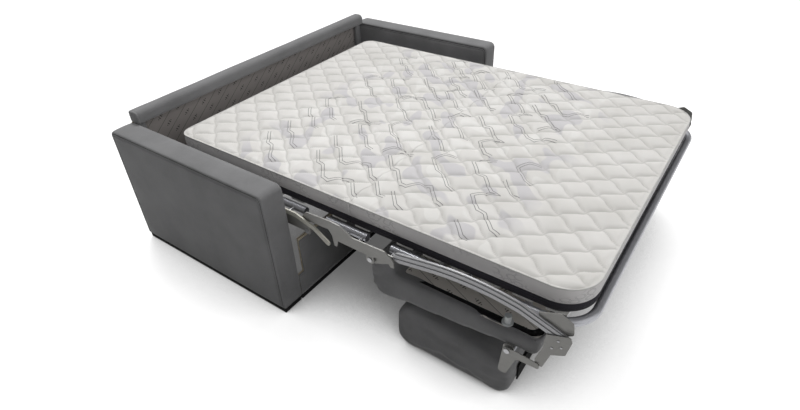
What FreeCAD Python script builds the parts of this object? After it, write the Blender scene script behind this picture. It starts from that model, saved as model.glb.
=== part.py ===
import FreeCAD, Part
import math
import os

import Sketcher

# Sofa bed, drawn open as a bed. Millimetres. +Z is up and +Y is the rear of the sofa, so the bed
# reaches out towards -Y. The origin is on the floor under the middle of the whole piece.
# Three mattress sections fold like a letter C into the sofa: the head section sinks on four swing
# arms, the short middle section stands up behind the front rail, and the foot section turns over on
# top of them with the seat cushion, which brings the back cushion upright behind the seat.

Vector = FreeCAD.Vector
doc = FreeCAD.newDocument("sofa_bed")
sheet = doc.addObject("Spreadsheet::Sheet", "sizes")
parts = []
SIDES = {"left": -1, "right": 1}


class Size:
    """A length with its formula in the sheet, so that it can be bound to a property."""

    def __init__(self, text, value):
        self.text = text
        self.value = value

    def __add__(self, other):
        return Size(f"({self.text} + {other.text})", self.value + other.value)

    def __sub__(self, other):
        return Size(f"({self.text} - {other.text})", self.value - other.value)

    def __mul__(self, share):
        return Size(f"({self.text} * {share})", self.value * share)

    def __neg__(self):
        return Size(f"(-{self.text})", -self.value)


rows = []


def size(name, value):
    """Writes one driving size into the sheet."""
    rows.append(name)
    row = len(rows)
    sheet.set(f"A{row}", name)
    sheet.set(f"B{row}", str(value))
    sheet.setAlias(f"B{row}", name)
    return Size(f"sizes.{name}", float(value))


def along(length, angle, function):
    """The sine or cosine share of a length that leans by an angle of the sheet."""
    share = getattr(math, function)(math.radians(angle.value))
    return Size(f"({length.text} * {function}({angle.text}))", length.value * share)


NONE = Size("0", 0.0)

# Sofa body
sofa_width = size("sofa_width", 1832)
sofa_depth = size("sofa_depth", 953)
arm_height = size("arm_height", 600)
arm_thickness = size("arm_thickness", 106)
back_height = size("back_height", 652)
bed_reach = size("bed_reach", 2104)
plinth_height = size("plinth_height", 28)
plinth_inset = size("plinth_inset", 6)
cover_wall = size("cover_wall", 8)
timber = size("timber", 40)
fit_gap = size("fit_gap", 0.4)
arm_edge_radius = size("arm_edge_radius", 16)
arm_rim_radius = size("arm_rim_radius", 7)
back_rail_depth = size("back_rail_depth", 65)
back_rail_drop = size("back_rail_drop", 57)
rail_core_depth = size("rail_core_depth", 34)
rail_core_height = size("rail_core_height", 30)
rail_front_radius = size("rail_front_radius", 24)
rail_rear_radius = size("rail_rear_radius", 12)
rear_skin = size("rear_skin", 4)
back_frame_depth = size("back_frame_depth", 14)
lining_thickness = size("lining_thickness", 2)
stile_width = size("stile_width", 45)
stile_depth = size("stile_depth", 24)
front_cover = size("front_cover", 5)
front_board = size("front_board", 9)
front_height = size("front_height", 312)
front_lip = size("front_lip", 11)
notch_width = size("notch_width", 33)
notch_height = size("notch_height", 175)

# Mattress
mattress_side_space = size("mattress_side_space", 106)
mattress_thickness = size("mattress_thickness", 107)
mattress_height = size("mattress_height", 445)
head_space = size("head_space", 187)
foot_space = size("foot_space", 30)
mattress_corner = size("mattress_corner", 120)
mattress_edge = size("mattress_edge", 9)
fold_gap = size("fold_gap", 0.6)
channel_pitch = size("channel_pitch", 112)
channel_depth = size("channel_depth", 4)

# Bed frame and folds
axis_height = size("axis_height", 402)
fold_one = size("fold_one", 1030)
middle_length = size("middle_length", 304)
tube_radius = size("tube_radius", 15.5)
tube_wall = size("tube_wall", 1.5)
tube_height = size("tube_height", 437)
tube_side_gap = size("tube_side_gap", 28)
tube_end_gap = size("tube_end_gap", 54)
foot_bend = size("foot_bend", 116)
head_tube_start = size("head_tube_start", 187)
cross_tube_radius = size("cross_tube_radius", 9)
slat_width = size("slat_width", 68)
slat_thickness = size("slat_thickness", 8)
slat_pitch = size("slat_pitch", 113)
slat_side_gap = size("slat_side_gap", 15)
end_bar_depth = size("end_bar_depth", 34)
end_bar_height = size("end_bar_height", 18)
stop_radius = size("stop_radius", 5)
stop_height = size("stop_height", 68)
stop_side = size("stop_side", 54)

# Links, from the outside of the mechanism inwards
base_plate = size("base_plate", 4)
swing_gap = size("swing_gap", 3)
swing_thickness = size("swing_thickness", 6)
plate_gap = size("plate_gap", 4)
plate_thickness = size("plate_thickness", 5)
inner_gap = size("inner_gap", 4)
swing_length = size("swing_length", 262)
swing_width = size("swing_width", 34)
swing_start = size("swing_start", 24.5)
front_pivot = size("front_pivot", 720)
rear_pivot = size("rear_pivot", 300)
pin_radius = size("pin_radius", 6)
pin_clearance = size("pin_clearance", 0.05)
pin_head_radius = size("pin_head_radius", 10)
pin_head = size("pin_head", 2)
lobe_radius = size("lobe_radius", 16)
plate_rise = size("plate_rise", 100)
base_plate_height = size("base_plate_height", 70)
base_plate_overhang = size("base_plate_overhang", 50)
screw_radius = size("screw_radius", 6)
screw_head = size("screw_head", 2)
spacer_radius = size("spacer_radius", 5)
lever_reach = size("lever_reach", 430)
lever_rise = size("lever_rise", 66)
lever_width = size("lever_width", 20)

# Arched side rail and foot brackets
rail_setback = size("rail_setback", 99)
rail_tail = size("rail_tail", 68)
rail_height = size("rail_height", 456)
rail_arch = size("rail_arch", 37)
rail_width = size("rail_width", 44)
rail_inset = size("rail_inset", 1)
rail_thickness = size("rail_thickness", 6)
rail_rib = size("rail_rib", 2.5)
rail_rib_width = size("rail_rib_width", 11)
bracket_thickness = size("bracket_thickness", 3)
bracket_gap = size("bracket_gap", 0.3)
bracket_width = size("bracket_width", 95)
bracket_height = size("bracket_height", 245)

# Seat and back cushions
cushion_clearance = size("cushion_clearance", 8)
seat_inset = size("seat_inset", 123)
seat_length = size("seat_length", 669)
seat_under = size("seat_under", 216)
seat_depth = size("seat_depth", 179)
seat_rim = size("seat_rim", 7)
seat_nose_radius = size("seat_nose_radius", 60)
seat_roll_radius = size("seat_roll_radius", 30)
seat_rear_radius = size("seat_rear_radius", 25)
seat_end_radius = size("seat_end_radius", 15)
seat_inner_radius = size("seat_inner_radius", 8)
recess_side = size("recess_side", 25)
recess_start = size("recess_start", 88)
recess_end = size("recess_end", 6)
board_thickness = size("board_thickness", 8)
board_height = size("board_height", 333)
post_width = size("post_width", 20)
post_inset = size("post_inset", 110)
end_bar_radius = size("end_bar_radius", 6)
buffer_inset = size("buffer_inset", 133)
buffer_radius = size("buffer_radius", 20)
buffer_base = size("buffer_base", 6)
buffer_post_radius = size("buffer_post_radius", 12)
buffer_height = size("buffer_height", 34)
back_overhang = size("back_overhang", 20)
back_length = size("back_length", 490)
back_depth = size("back_depth", 218)
back_rim = size("back_rim", 14)
back_top_radius = size("back_top_radius", 60)
back_low_radius = size("back_low_radius", 55)
back_end_radius = size("back_end_radius", 30)
back_front_radius = size("back_front_radius", 70)
back_end_board = size("back_end_board", 5)
back_board_inset = size("back_board_inset", 60)
back_pivot_inset = size("back_pivot_inset", 101)
back_pivot_height = size("back_pivot_height", 276)
seat_plate = size("seat_plate", 4)
seat_plate_reach = size("seat_plate_reach", 19)
crank_reach = size("crank_reach", 108)
crank_drop = size("crank_drop", 100)
hinge_bar_height = size("hinge_bar_height", 177.2)
doc.recompute()

# Places that several pieces share
half_width = sofa_width * 0.5
inner_side = half_width - arm_thickness
rear = bed_reach * 0.5
front = rear - sofa_depth
mattress_side = inner_side - mattress_side_space
tube_side = mattress_side + tube_side_gap
base_side = inner_side - base_plate
swing_side = base_side - swing_gap
plate_side = swing_side - swing_thickness - plate_gap
inner_plate_side = plate_side - plate_thickness - inner_gap
rail_side = inner_plate_side - rail_inset
corner_side = rail_side - rail_thickness - bracket_gap - bracket_thickness
drop_side = rail_side + rail_rib + bracket_gap
crank_side = drop_side + bracket_thickness + bracket_gap
cushion_side = rail_side - cushion_clearance
foot = rear - bed_reach
seat_end = foot + seat_inset
seat_near = seat_end + seat_length
pivot_y = seat_end + back_pivot_inset
bracket_y = seat_end - end_bar_radius
hinge_one = rear - fold_one
hinge_two = hinge_one - middle_length
rail_begin = hinge_two - rail_setback
rail_length = rail_begin - bracket_y + rail_tail
mattress_top = mattress_height + mattress_thickness
slat_top = mattress_height - fit_gap
swing_drop = along(swing_length, swing_start, "cos")
swing_lean = along(swing_length, swing_start, "sin")
base_height = axis_height - swing_drop
HOLE = pin_radius + pin_clearance
SLANT = math.sqrt(0.5)
TINY = 1e-4


def keep(part):
    """Puts a finished sub-part on the list of files to write. Its label is its file's name."""
    parts.append(part)
    return part


def box(label, x, y, z):
    """A block between a low and a high place on each axis."""
    block = doc.addObject("Part::Box", label)
    sides = zip("xyz", ("Length", "Width", "Height"), (x, y, z))
    for axis, name, (low, high) in sides:
        block.setExpression(name, (high - low).text)
        block.setExpression(f"Placement.Base.{axis}", low.text)
    return block


def rod(label, axis, x, y, z, length, radius):
    """A cylinder that starts at x, y, z and runs along one axis."""
    turns = {"x": Vector(0, 1, 0), "y": Vector(-1, 0, 0), "z": Vector(0, 0, 1)}
    angle = 0 if axis == "z" else 90
    bar = doc.addObject("Part::Cylinder", label)
    bar.Placement = FreeCAD.Placement(Vector(), FreeCAD.Rotation(turns[axis], angle))
    bar.setExpression("Radius", radius.text)
    bar.setExpression("Height", length.text)
    for name, place in zip("xyz", (x, y, z)):
        bar.setExpression(f"Placement.Base.{name}", place.text)
    return bar


def group(label, pieces):
    """Several separate solids as one sub-part."""
    compound = doc.addObject("Part::Compound", label)
    compound.Links = pieces
    return keep(compound)


def fuse(label, pieces):
    joined = doc.addObject("Part::MultiFuse", label)
    joined.Shapes = pieces
    return joined


def cut(label, base, tools):
    """The base without the tools."""
    tool = tools[0] if len(tools) == 1 else fuse(label + "_tools", tools)
    rest = doc.addObject("Part::Cut", label)
    rest.Base = base
    rest.Tool = tool
    return rest


def both(label, base, tool):
    """What two shapes share."""
    common = doc.addObject("Part::Common", label)
    common.Base = base
    common.Tool = tool
    return common


def pipe(label, y, x):
    """A straight hollow tube of the bed frame along Y."""
    start, length = (x, y[0], tube_height), y[1] - y[0]
    outer = rod(label + "_outer", "y", *start, length, tube_radius)
    inner = rod(label + "_bore", "y", *start, length, tube_radius - tube_wall)
    return cut(label, outer, [inner])


def side_range(sign, inner, outer):
    """A range on one side of the middle plane, as low and high x."""
    return (inner, outer) if sign > 0 else (-outer, -inner)


def arc_through(start, middle, end):
    """The circle arc through three points, and whether it runs clockwise."""
    circle = Part.Arc(start, middle, end).toShape().Curve
    centre = circle.Center
    turn = (middle - start).cross(end - middle).z
    first, last = (end, start) if turn < 0 else (start, end)
    angles = [math.atan2(p.y - centre.y, p.x - centre.x) for p in (first, last)]
    flat = Part.Circle(centre, Vector(0, 0, 1), circle.Radius)
    return Part.ArcOfCircle(flat, angles[0], angles[1]), turn < 0


def draw(sketch, outline, holes):
    """Draws a closed outline with holes. Each of its corners is bound to the sheet."""
    corners = [Vector(p[0].value, p[1].value, 0) for p in outline]
    ends = []
    for number, corner in enumerate(outline):
        following = (number + 1) % len(outline)
        start, end = corners[number], corners[following]
        if len(corner) == 4:
            through = Vector(corner[2].value, corner[3].value, 0)
            curve, clockwise = arc_through(start, through, end)
            sketch.addGeometry(curve, False)
            ends.append((2, 1) if clockwise else (1, 2))
        else:
            sketch.addGeometry(Part.LineSegment(start, end), False)
            ends.append((1, 2))
    for number, corner in enumerate(outline):
        following = (number + 1) % len(outline)
        joint = (number, ends[number][1], following, ends[following][0])
        sketch.addConstraint(Sketcher.Constraint("Coincident", *joint))
        for kind, place in zip(("DistanceX", "DistanceY"), corner):
            rule = Sketcher.Constraint(kind, -1, 1, number, ends[number][0], place.value)
            index = sketch.addConstraint(rule)
            sketch.setExpression(f"Constraints[{index}]", place.text)
    for (y, z), radius in holes:
        centre = Vector(y.value, z.value, 0)
        number = sketch.addGeometry(Part.Circle(centre, Vector(0, 0, 1), radius.value), False)
        rules = (("DistanceX", y), ("DistanceY", z))
        for kind, place in rules:
            rule = Sketcher.Constraint(kind, -1, 1, number, 3, place.value)
            index = sketch.addConstraint(rule)
            sketch.setExpression(f"Constraints[{index}]", place.text)
        index = sketch.addConstraint(Sketcher.Constraint("Radius", number, radius.value))
        sketch.setExpression(f"Constraints[{index}]", radius.text)


def plane_of(body, role):
    return [item for item in body.Origin.OriginFeatures if item.Role == role][0]


def prism(label, outline, x, rounds=(), rim=None, holes=(), plane="YZ_Plane", axis="x"):
    """An outline drawn across one axis and padded along it, with rounded corners and rims."""
    body = doc.addObject("PartDesign::Body", label)
    sketch = body.newObject("Sketcher::SketchObject", label + "_outline")
    sketch.AttachmentSupport = (plane_of(body, plane), [""])
    sketch.MapMode = "FlatFace"
    draw(sketch, outline, holes)
    pad = body.newObject("PartDesign::Pad", label + "_pad")
    pad.Profile = sketch
    pad.setExpression("Length", (x[1] - x[0]).text)
    body.setExpression(f"Placement.Base.{axis}", x[0].text)
    doc.recompute()
    last = pad
    for number, (wanted, radius) in enumerate(rounds):
        spots = [Vector(outline[k][0].value, outline[k][1].value, 0) for k in wanted]
        last = soften(body, last, radius, f"{label}_corner{number}", lambda e: at_spot(e, spots, axis))
    if rim is not None:
        thick = (x[1] - x[0]).value
        last = soften(body, last, rim, label + "_rim", lambda e: on_rim(e, thick, axis))
    return body


def flat(point, axis):
    """A point's place in the outline's own plane."""
    return Vector(point.y, point.z, 0) if axis == "x" else Vector(point.x, point.y, 0)


def height_of(point, axis):
    return point.x if axis == "x" else point.z


def at_spot(edge, spots, axis):
    ends = [v.Point for v in edge.Vertexes]
    if len(ends) < 2 or abs(height_of(ends[0], axis) - height_of(ends[1], axis)) < TINY:
        return False
    return any((flat(p, axis) - s).Length < TINY for s in spots for p in ends[:1])


def on_rim(edge, thick, axis):
    ends = [height_of(v.Point, axis) for v in edge.Vertexes]
    middle = height_of(edge.valueAt((edge.FirstParameter + edge.LastParameter) / 2), axis)
    return any(max(abs(h - level) for h in ends + [middle]) < TINY for level in (0.0, thick))


def soften(body, base, radius, label, wanted):
    """Rounds the wanted edges of a feature of the body."""
    picks = [f"Edge{k + 1}" for k, e in enumerate(base.Shape.Edges) if wanted(e)]
    fillet = body.newObject("PartDesign::Fillet", label)
    fillet.Base = (base, picks)
    fillet.setExpression("Radius", radius.text)
    doc.recompute()
    return fillet


def placed(shares, origin, spans):
    """Turns a table of shares into places: origin plus share times span, on both axes."""
    (y0, z0), (dy, dz) = origin, spans
    places = []
    for row in shares:
        pairs = zip(row[0::2], row[1::2])
        places.append(tuple(p for u, v in pairs for p in (y0 + dy * u, z0 + dz * v)))
    return places


# Arms: an upholstered cover over a timber frame
def sofa_arms():
    y, z = (front, rear), (plinth_height, arm_height)
    outline = [(y[0], z[0]), (y[1], z[0]), (y[1], z[1]), (y[0], z[1])]
    gap = cover_wall + fit_gap
    low, high = front + gap, rear - gap
    bottom, top = plinth_height, arm_height - gap
    posts_z = (bottom + timber, top - timber)
    bars = []
    for name, sign in SIDES.items():
        x = side_range(sign, inner_side, half_width)
        body = prism(f"{name}_arm_body", outline, x, [((2, 3), arm_edge_radius)], arm_rim_radius)
        space_x = side_range(sign, inner_side + cover_wall, half_width - cover_wall)
        space_y = (front + cover_wall, rear - cover_wall)
        space = box(f"{name}_arm_space", space_x, space_y, (plinth_height, arm_height - cover_wall))
        keep(cut(f"{name}_arm_cover", body, [space]))
        x = side_range(sign, inner_side + gap, half_width - gap)
        bars += [
            box(f"{name}_arm_sill", x, (low, high), (bottom, bottom + timber)),
            box(f"{name}_arm_top_bar", x, (low, high), (top - timber, top)),
            box(f"{name}_arm_front_post", x, (low, low + timber), posts_z),
            box(f"{name}_arm_rear_post", x, (high - timber, high), posts_z),
        ]
    group("arm_frames", bars)


# Plinths under the arms, the back and the front rail: what the sofa stands on
def plinths():
    z = (NONE, plinth_height)
    arm_y = (front + plinth_inset, rear - plinth_inset)
    blocks = []
    for name, sign in SIDES.items():
        x = side_range(sign, inner_side + plinth_inset, half_width - plinth_inset)
        blocks.append(box(f"{name}_arm_plinth", x, arm_y, z))
    side = inner_side - fit_gap
    back_y = (rear - rear_skin - back_frame_depth, rear - plinth_inset)
    blocks.append(box("back_plinth", (-side, side), back_y, z))
    board_y = (front + front_cover, front + front_cover + front_board)
    blocks.append(box("front_plinth", (-side, side), board_y, z))
    group("plinths", blocks)


# Back between the arms: padded top rail, timber frame, rear skin, lining and side stiles
def sofa_back():
    side = inner_side - fit_gap
    x = (-side, side)
    rail_low = back_height - back_rail_drop
    rail_front = rear - back_rail_depth
    outline = [(rail_front, rail_low), (rear, rail_low), (rear, back_height), (rail_front, back_height)]
    rounds = [((3,), rail_front_radius), ((0, 2), rail_rear_radius)]
    pad = prism("back_rail_body", outline, x, rounds)
    core_y = (rear - rail_core_depth - cover_wall * 2, rear - cover_wall * 2)
    core_z = (rail_low + cover_wall, rail_low + cover_wall + rail_core_height)
    keep(cut("back_rail_pad", pad, [box("back_rail_space", x, core_y, core_z)]))
    core_y = (core_y[0] + fit_gap, core_y[1] - fit_gap)
    core_z = (core_z[0] + fit_gap, core_z[1] - fit_gap)

    z = (plinth_height, rail_low - fit_gap)
    frame_y = (rear - rear_skin - back_frame_depth, rear - rear_skin)
    posts_z = (z[0] + timber, z[1] - timber)
    bars = [
        box("back_rail_core", x, core_y, core_z),
        box("back_frame_sill", x, frame_y, (z[0], z[0] + timber)),
        box("back_frame_head", x, frame_y, (z[1] - timber, z[1])),
    ]
    post_shares = (-1, -1 / 3, 1 / 3, 1)
    for number, share in enumerate(post_shares):
        middle = (side - timber * 0.5) * share
        post_x = (middle - timber * 0.5, middle + timber * 0.5)
        bars.append(box(f"back_frame_post{number}", post_x, frame_y, posts_z))
    group("back_frame", bars)
    keep(box("back_rear_cover", x, (rear - rear_skin, rear), z))
    stile_inner = side - stile_width
    keep(box("back_lining", (-stile_inner, stile_inner), (frame_y[0] - lining_thickness, frame_y[0]), z))
    stile_y = (frame_y[0] - stile_depth, frame_y[0])
    stile_x = {name: side_range(sign, stile_inner, side) for name, sign in SIDES.items()}
    group("back_stiles", [box(f"{name}_back_stile", x, stile_y, z) for name, x in stile_x.items()])


# Front rail between the arms, notched at both ends for the folding side plates
def sofa_front():
    side = inner_side - fit_gap
    x = (-side, side)
    board_y = (front + front_cover, front + front_cover + front_board)
    board = box("front_board_blank", x, board_y, (plinth_height, front_height))
    cover = box("front_cover_blank", x, (front, board_y[0]), (plinth_height, front_height - front_lip))
    blanks = {"front_rail_board": board, "front_rail_cover": cover}
    for label, blank in blanks.items():
        notches = []
        for name, sign in SIDES.items():
            notch_x = side_range(sign, side - notch_width, side + fit_gap)
            notch_z = (front_height - notch_height, front_height + front_lip)
            notch_y = (front - fit_gap, board_y[1] + fit_gap)
            notches.append(box(f"{name}_{label}_notch", notch_x, notch_y, notch_z))
        keep(cut(label, blank, notches))


# Mattress: three sections and the two wedges between them that bend in the folds
def mattress():
    side = mattress_side
    low, high = mattress_height, mattress_top
    reach_low = low - axis_height
    reach_high = high - axis_height
    head_end = rear - head_space
    foot_end = foot + foot_space

    def wedge(label, hinge, gap):
        """The space of one fold, which opens upwards at 45 degrees from the hinge."""
        at_low, at_high = reach_low + gap, reach_high + gap
        floor = [(hinge - at_low, low), (hinge + at_low, low)]
        roof = [(hinge + at_high, high), (hinge - at_high, high)]
        return prism(label, floor + roof, (-side, side))

    plan = [(-side, foot_end), (side, foot_end), (side, head_end), (-side, head_end)]
    rounds = [((0, 1, 2, 3), mattress_corner)]
    block = prism("mattress_block", plan, (low, high), rounds, mattress_edge, plane="XY_Plane", axis="z")
    blank = cut("mattress_quilted", block, channels((head_end + foot_end) * 0.5, head_end - foot_end))
    hinges = {"head": hinge_one, "foot": hinge_two}
    wedges = [wedge(f"fold_space_{name}", hinge, fold_gap) for name, hinge in hinges.items()]
    spans = {
        "mattress_head": (hinge_one, head_end + fold_gap),
        "mattress_middle": (hinge_two, hinge_one),
        "mattress_foot": (foot_end - fold_gap, hinge_two),
    }
    x = (-side - fold_gap, side + fold_gap)
    z = (low - fold_gap, high + fold_gap)
    for label, y in spans.items():
        span = both(label + "_span", blank, box(label + "_box", x, y, z))
        keep(cut(label, span, wedges))
    for name, hinge in hinges.items():
        keep(both(f"mattress_fold_{name}", blank, wedge(f"mattress_fold_{name}_wedge", hinge, NONE)))


def channels(middle, length):
    """Square bars on edge, whose lower corners sew crossed channels into the mattress top."""
    bars = []
    run = length * 1.6
    count = int((length.value + mattress_side.value * 2) * SLANT / 2 / channel_pitch.value)
    for way in (1, -1):
        for number in range(-count, count + 1):
            bar = doc.addObject("Part::Box", f"channel_{'a' if way > 0 else 'b'}{number + count}")
            turn = FreeCAD.Rotation(Vector(0, 0, 1), 45 * way) * FreeCAD.Rotation(Vector(1, 0, 0), 45)
            bar.Placement = FreeCAD.Placement(Vector(), turn)
            bar.setExpression("Length", run.text)
            bar.setExpression("Width", (channel_depth * 2).text)
            bar.setExpression("Height", (channel_depth * 2).text)
            shift = channel_pitch * number
            x = -(shift * (SLANT * way)) - run * (SLANT / 2)
            y = middle + shift * SLANT - run * (SLANT / 2 * way)
            for axis, place in zip("xyz", (x, y, mattress_top - channel_depth)):
                bar.setExpression(f"Placement.Base.{axis}", place.text)
            bars.append(bar)
    return bars


# Bed frame: side tubes, bent foot tube, cross bars, slats and mattress stops
def bed_frame():
    head_y = (hinge_one + tube_end_gap, rear - head_tube_start)
    middle_y = (hinge_two + tube_end_gap, hinge_one - tube_end_gap)
    foot_y = (foot + tube_radius + foot_bend, hinge_two - tube_end_gap)
    middle_tubes = []
    for name, sign in SIDES.items():
        keep(pipe(f"{name}_head_tube", head_y, tube_side * sign))
        keep(pipe(f"{name}_foot_tube", foot_y, tube_side * sign))
        middle_tubes.append(pipe(f"{name}_middle_tube", middle_y, tube_side * sign))
    group("middle_tubes", middle_tubes)

    bend_x = tube_side - foot_bend
    shells = []
    for kind, radius in (("outer", tube_radius), ("bore", tube_radius - tube_wall)):
        start = (-bend_x, foot + tube_radius, tube_height)
        pieces = [rod(f"foot_end_{kind}_bar", "x", *start, bend_x * 2, radius)]
        for name, sign in SIDES.items():
            bend = doc.addObject("Part::Torus", f"foot_end_{kind}_{name}")
            turn = 180 if sign < 0 else 270
            bend.Placement = FreeCAD.Placement(Vector(), FreeCAD.Rotation(Vector(0, 0, 1), turn))
            bend.Angle3 = 90
            bend.setExpression("Radius1", foot_bend.text)
            bend.setExpression("Radius2", radius.text)
            for axis, place in zip("xyz", (bend_x * sign, foot_y[0], tube_height)):
                bend.setExpression(f"Placement.Base.{axis}", place.text)
            pieces.append(bend)
        shells.append(fuse(f"foot_end_{kind}", pieces))
    keep(cut("foot_end_tube", shells[0], [shells[1]]))

    slat_side = tube_side - tube_radius - slat_side_gap
    slat_z = (slat_top - slat_thickness, slat_top)
    spans = {
        "head_slats": (head_y[0] + fit_gap, head_y[1]),
        "middle_slats": middle_y,
        "foot_slats": (foot + tube_radius * 2 + fit_gap, hinge_two - tube_end_gap),
    }
    for label, (low, high) in spans.items():
        count = int(((high - low).value - slat_width.value) / slat_pitch.value) + 1
        slats = []
        for number in range(count):
            start = high - slat_width - slat_pitch * number
            slat_y = (start, start + slat_width)
            slats.append(box(f"{label}{number}", (-slat_side, slat_side), slat_y, slat_z))
        group(label, slats)

    side = tube_side - tube_radius - fit_gap
    end_bar_z = (slat_z[0] - end_bar_height, slat_z[0])
    cross_z = slat_z[0] - cross_tube_radius
    bars = [box("head_end_bar", (-side, side), (head_y[1] - end_bar_depth, head_y[1]), end_bar_z)]
    for number, place in enumerate((front_pivot, rear_pivot)):
        start = (-side, rear - place, cross_z)
        bars.append(rod(f"head_cross_bar{number}", "x", *start, side * 2, cross_tube_radius))
    group("head_cross_bars", bars)
    foot_place = rail_begin - rail_length * 0.4
    keep(rod("foot_cross_tube", "x", -side, foot_place, cross_z, side * 2, cross_tube_radius))

    stops = []
    for name, sign in SIDES.items():
        x = (mattress_side - stop_side) * sign
        y = head_y[1] + fit_gap + stop_radius
        post = rod(f"{name}_stop_post", "z", x, y, end_bar_z[0], stop_height, stop_radius)
        cap = doc.addObject("Part::Sphere", f"{name}_stop_cap")
        cap.setExpression("Radius", stop_radius.text)
        for axis, place in zip("xyz", (x, y, end_bar_z[0] + stop_height)):
            cap.setExpression(f"Placement.Base.{axis}", place.text)
        stops.append(fuse(f"{name}_stop", [post, cap]))
    group("mattress_stops", stops)


def pin(label, sign, y, z, inner, outer, head_at_outer=True):
    """A pin across the plates with a flat head on one end."""
    shank_x = side_range(sign, inner, outer)
    shank = rod(label + "_shank", "x", shank_x[0], y, z, shank_x[1] - shank_x[0], pin_radius)
    ends = (outer, outer + pin_head) if head_at_outer else (inner - pin_head, inner)
    head_x = side_range(sign, *ends)
    head = rod(label + "_head", "x", head_x[0], y, z, head_x[1] - head_x[0], pin_head_radius)
    return fuse(label, [shank, head])


# Swing arms and the base plates that carry them on the insides of the sofa arms
def swing_mechanism():
    pivots = {"front": rear - front_pivot, "rear": rear - rear_pivot}
    low = pivots["front"] - swing_lean - base_plate_overhang
    high = pivots["rear"] - swing_lean + base_plate_overhang
    bottom, top = base_height - base_plate_height * 0.5, base_height + base_plate_height * 0.5
    radius = swing_width * 0.5
    screws, base_pins = [], []
    for name, sign in SIDES.items():
        outline = [(low, bottom), (high, bottom), (high, top), (low, top)]
        x = side_range(sign, base_side, inner_side)
        holes = [((y - swing_lean, base_height), HOLE) for y in pivots.values()]
        keep(prism(f"{name}_base_plate", outline, x, [((0, 1, 2, 3), radius)], holes=holes))
        screw_shares = (0.2, 0.4, 0.75, 0.93)
        for number, share in enumerate(screw_shares):
            x = side_range(sign, base_side - screw_head, base_side)
            start = (x[0], low + (high - low) * share, bottom + screw_radius * 1.6)
            screws.append(rod(f"{name}_base_screw{number}", "x", *start, screw_head, screw_radius))
        for place, y in pivots.items():
            keep(swing_arm(f"{name}_{place}_swing_arm", sign, y, place == "front"))
            inner = swing_side - swing_thickness - fit_gap
            spot = (y - swing_lean, base_height, inner, inner_side)
            base_pins.append(pin(f"{name}_{place}_base_pin", sign, *spot, head_at_outer=False))
    group("base_screws", screws)
    group("base_pins", base_pins)


def swing_arm(label, sign, y, with_lever):
    """A flat bar between two pivots. The front one carries the bent lever past the sofa arm."""
    radius = swing_width * 0.5
    top = swing_length + radius
    outline = [(-radius, -radius), (radius, -radius), (radius, top), (-radius, top)]
    holes = [((NONE, NONE), HOLE), ((NONE, swing_length), HOLE)]
    x = side_range(sign, swing_side - swing_thickness, swing_side)
    bar = label + "_bar" if with_lever else label
    link = prism(bar, outline, x, [((0, 1, 2, 3), radius * 0.94)], holes=holes)
    link.Placement.Rotation = FreeCAD.Rotation(Vector(-1, 0, 0), swing_start.value)
    link.setExpression("Placement.Rotation.Angle", swing_start.text)
    link.setExpression("Placement.Base.y", (y - swing_lean).text)
    link.setExpression("Placement.Base.z", base_height.text)
    if not with_lever:
        return link
    # Each row: place along the reach, height, and which way is across the strap there
    strap_shares = [
        (0.025, 0.04, 0.35, 0.94), (0.45, 0.98, 0.12, 0.99), (0.62, 1.0, -0.12, 0.99),
        (0.83, 0.60, -0.42, 0.91), (1.0, -0.15, -0.46, 0.89),
    ]
    near, far = [], []
    half = lever_width * 0.5
    for reach, rise, across_y, across_z in strap_shares:
        strap_y = y - lever_reach * reach
        strap_z = axis_height + lever_rise * rise
        near.append((strap_y + half * across_y, strap_z + half * across_z))
        far.append((strap_y - half * across_y, strap_z - half * across_z))
    tip = len(near) - 1
    lever = prism(label + "_lever", near + far[::-1], x, [((tip, tip + 1), lever_width * 0.46)])
    return fuse(label, [link, lever])


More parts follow.
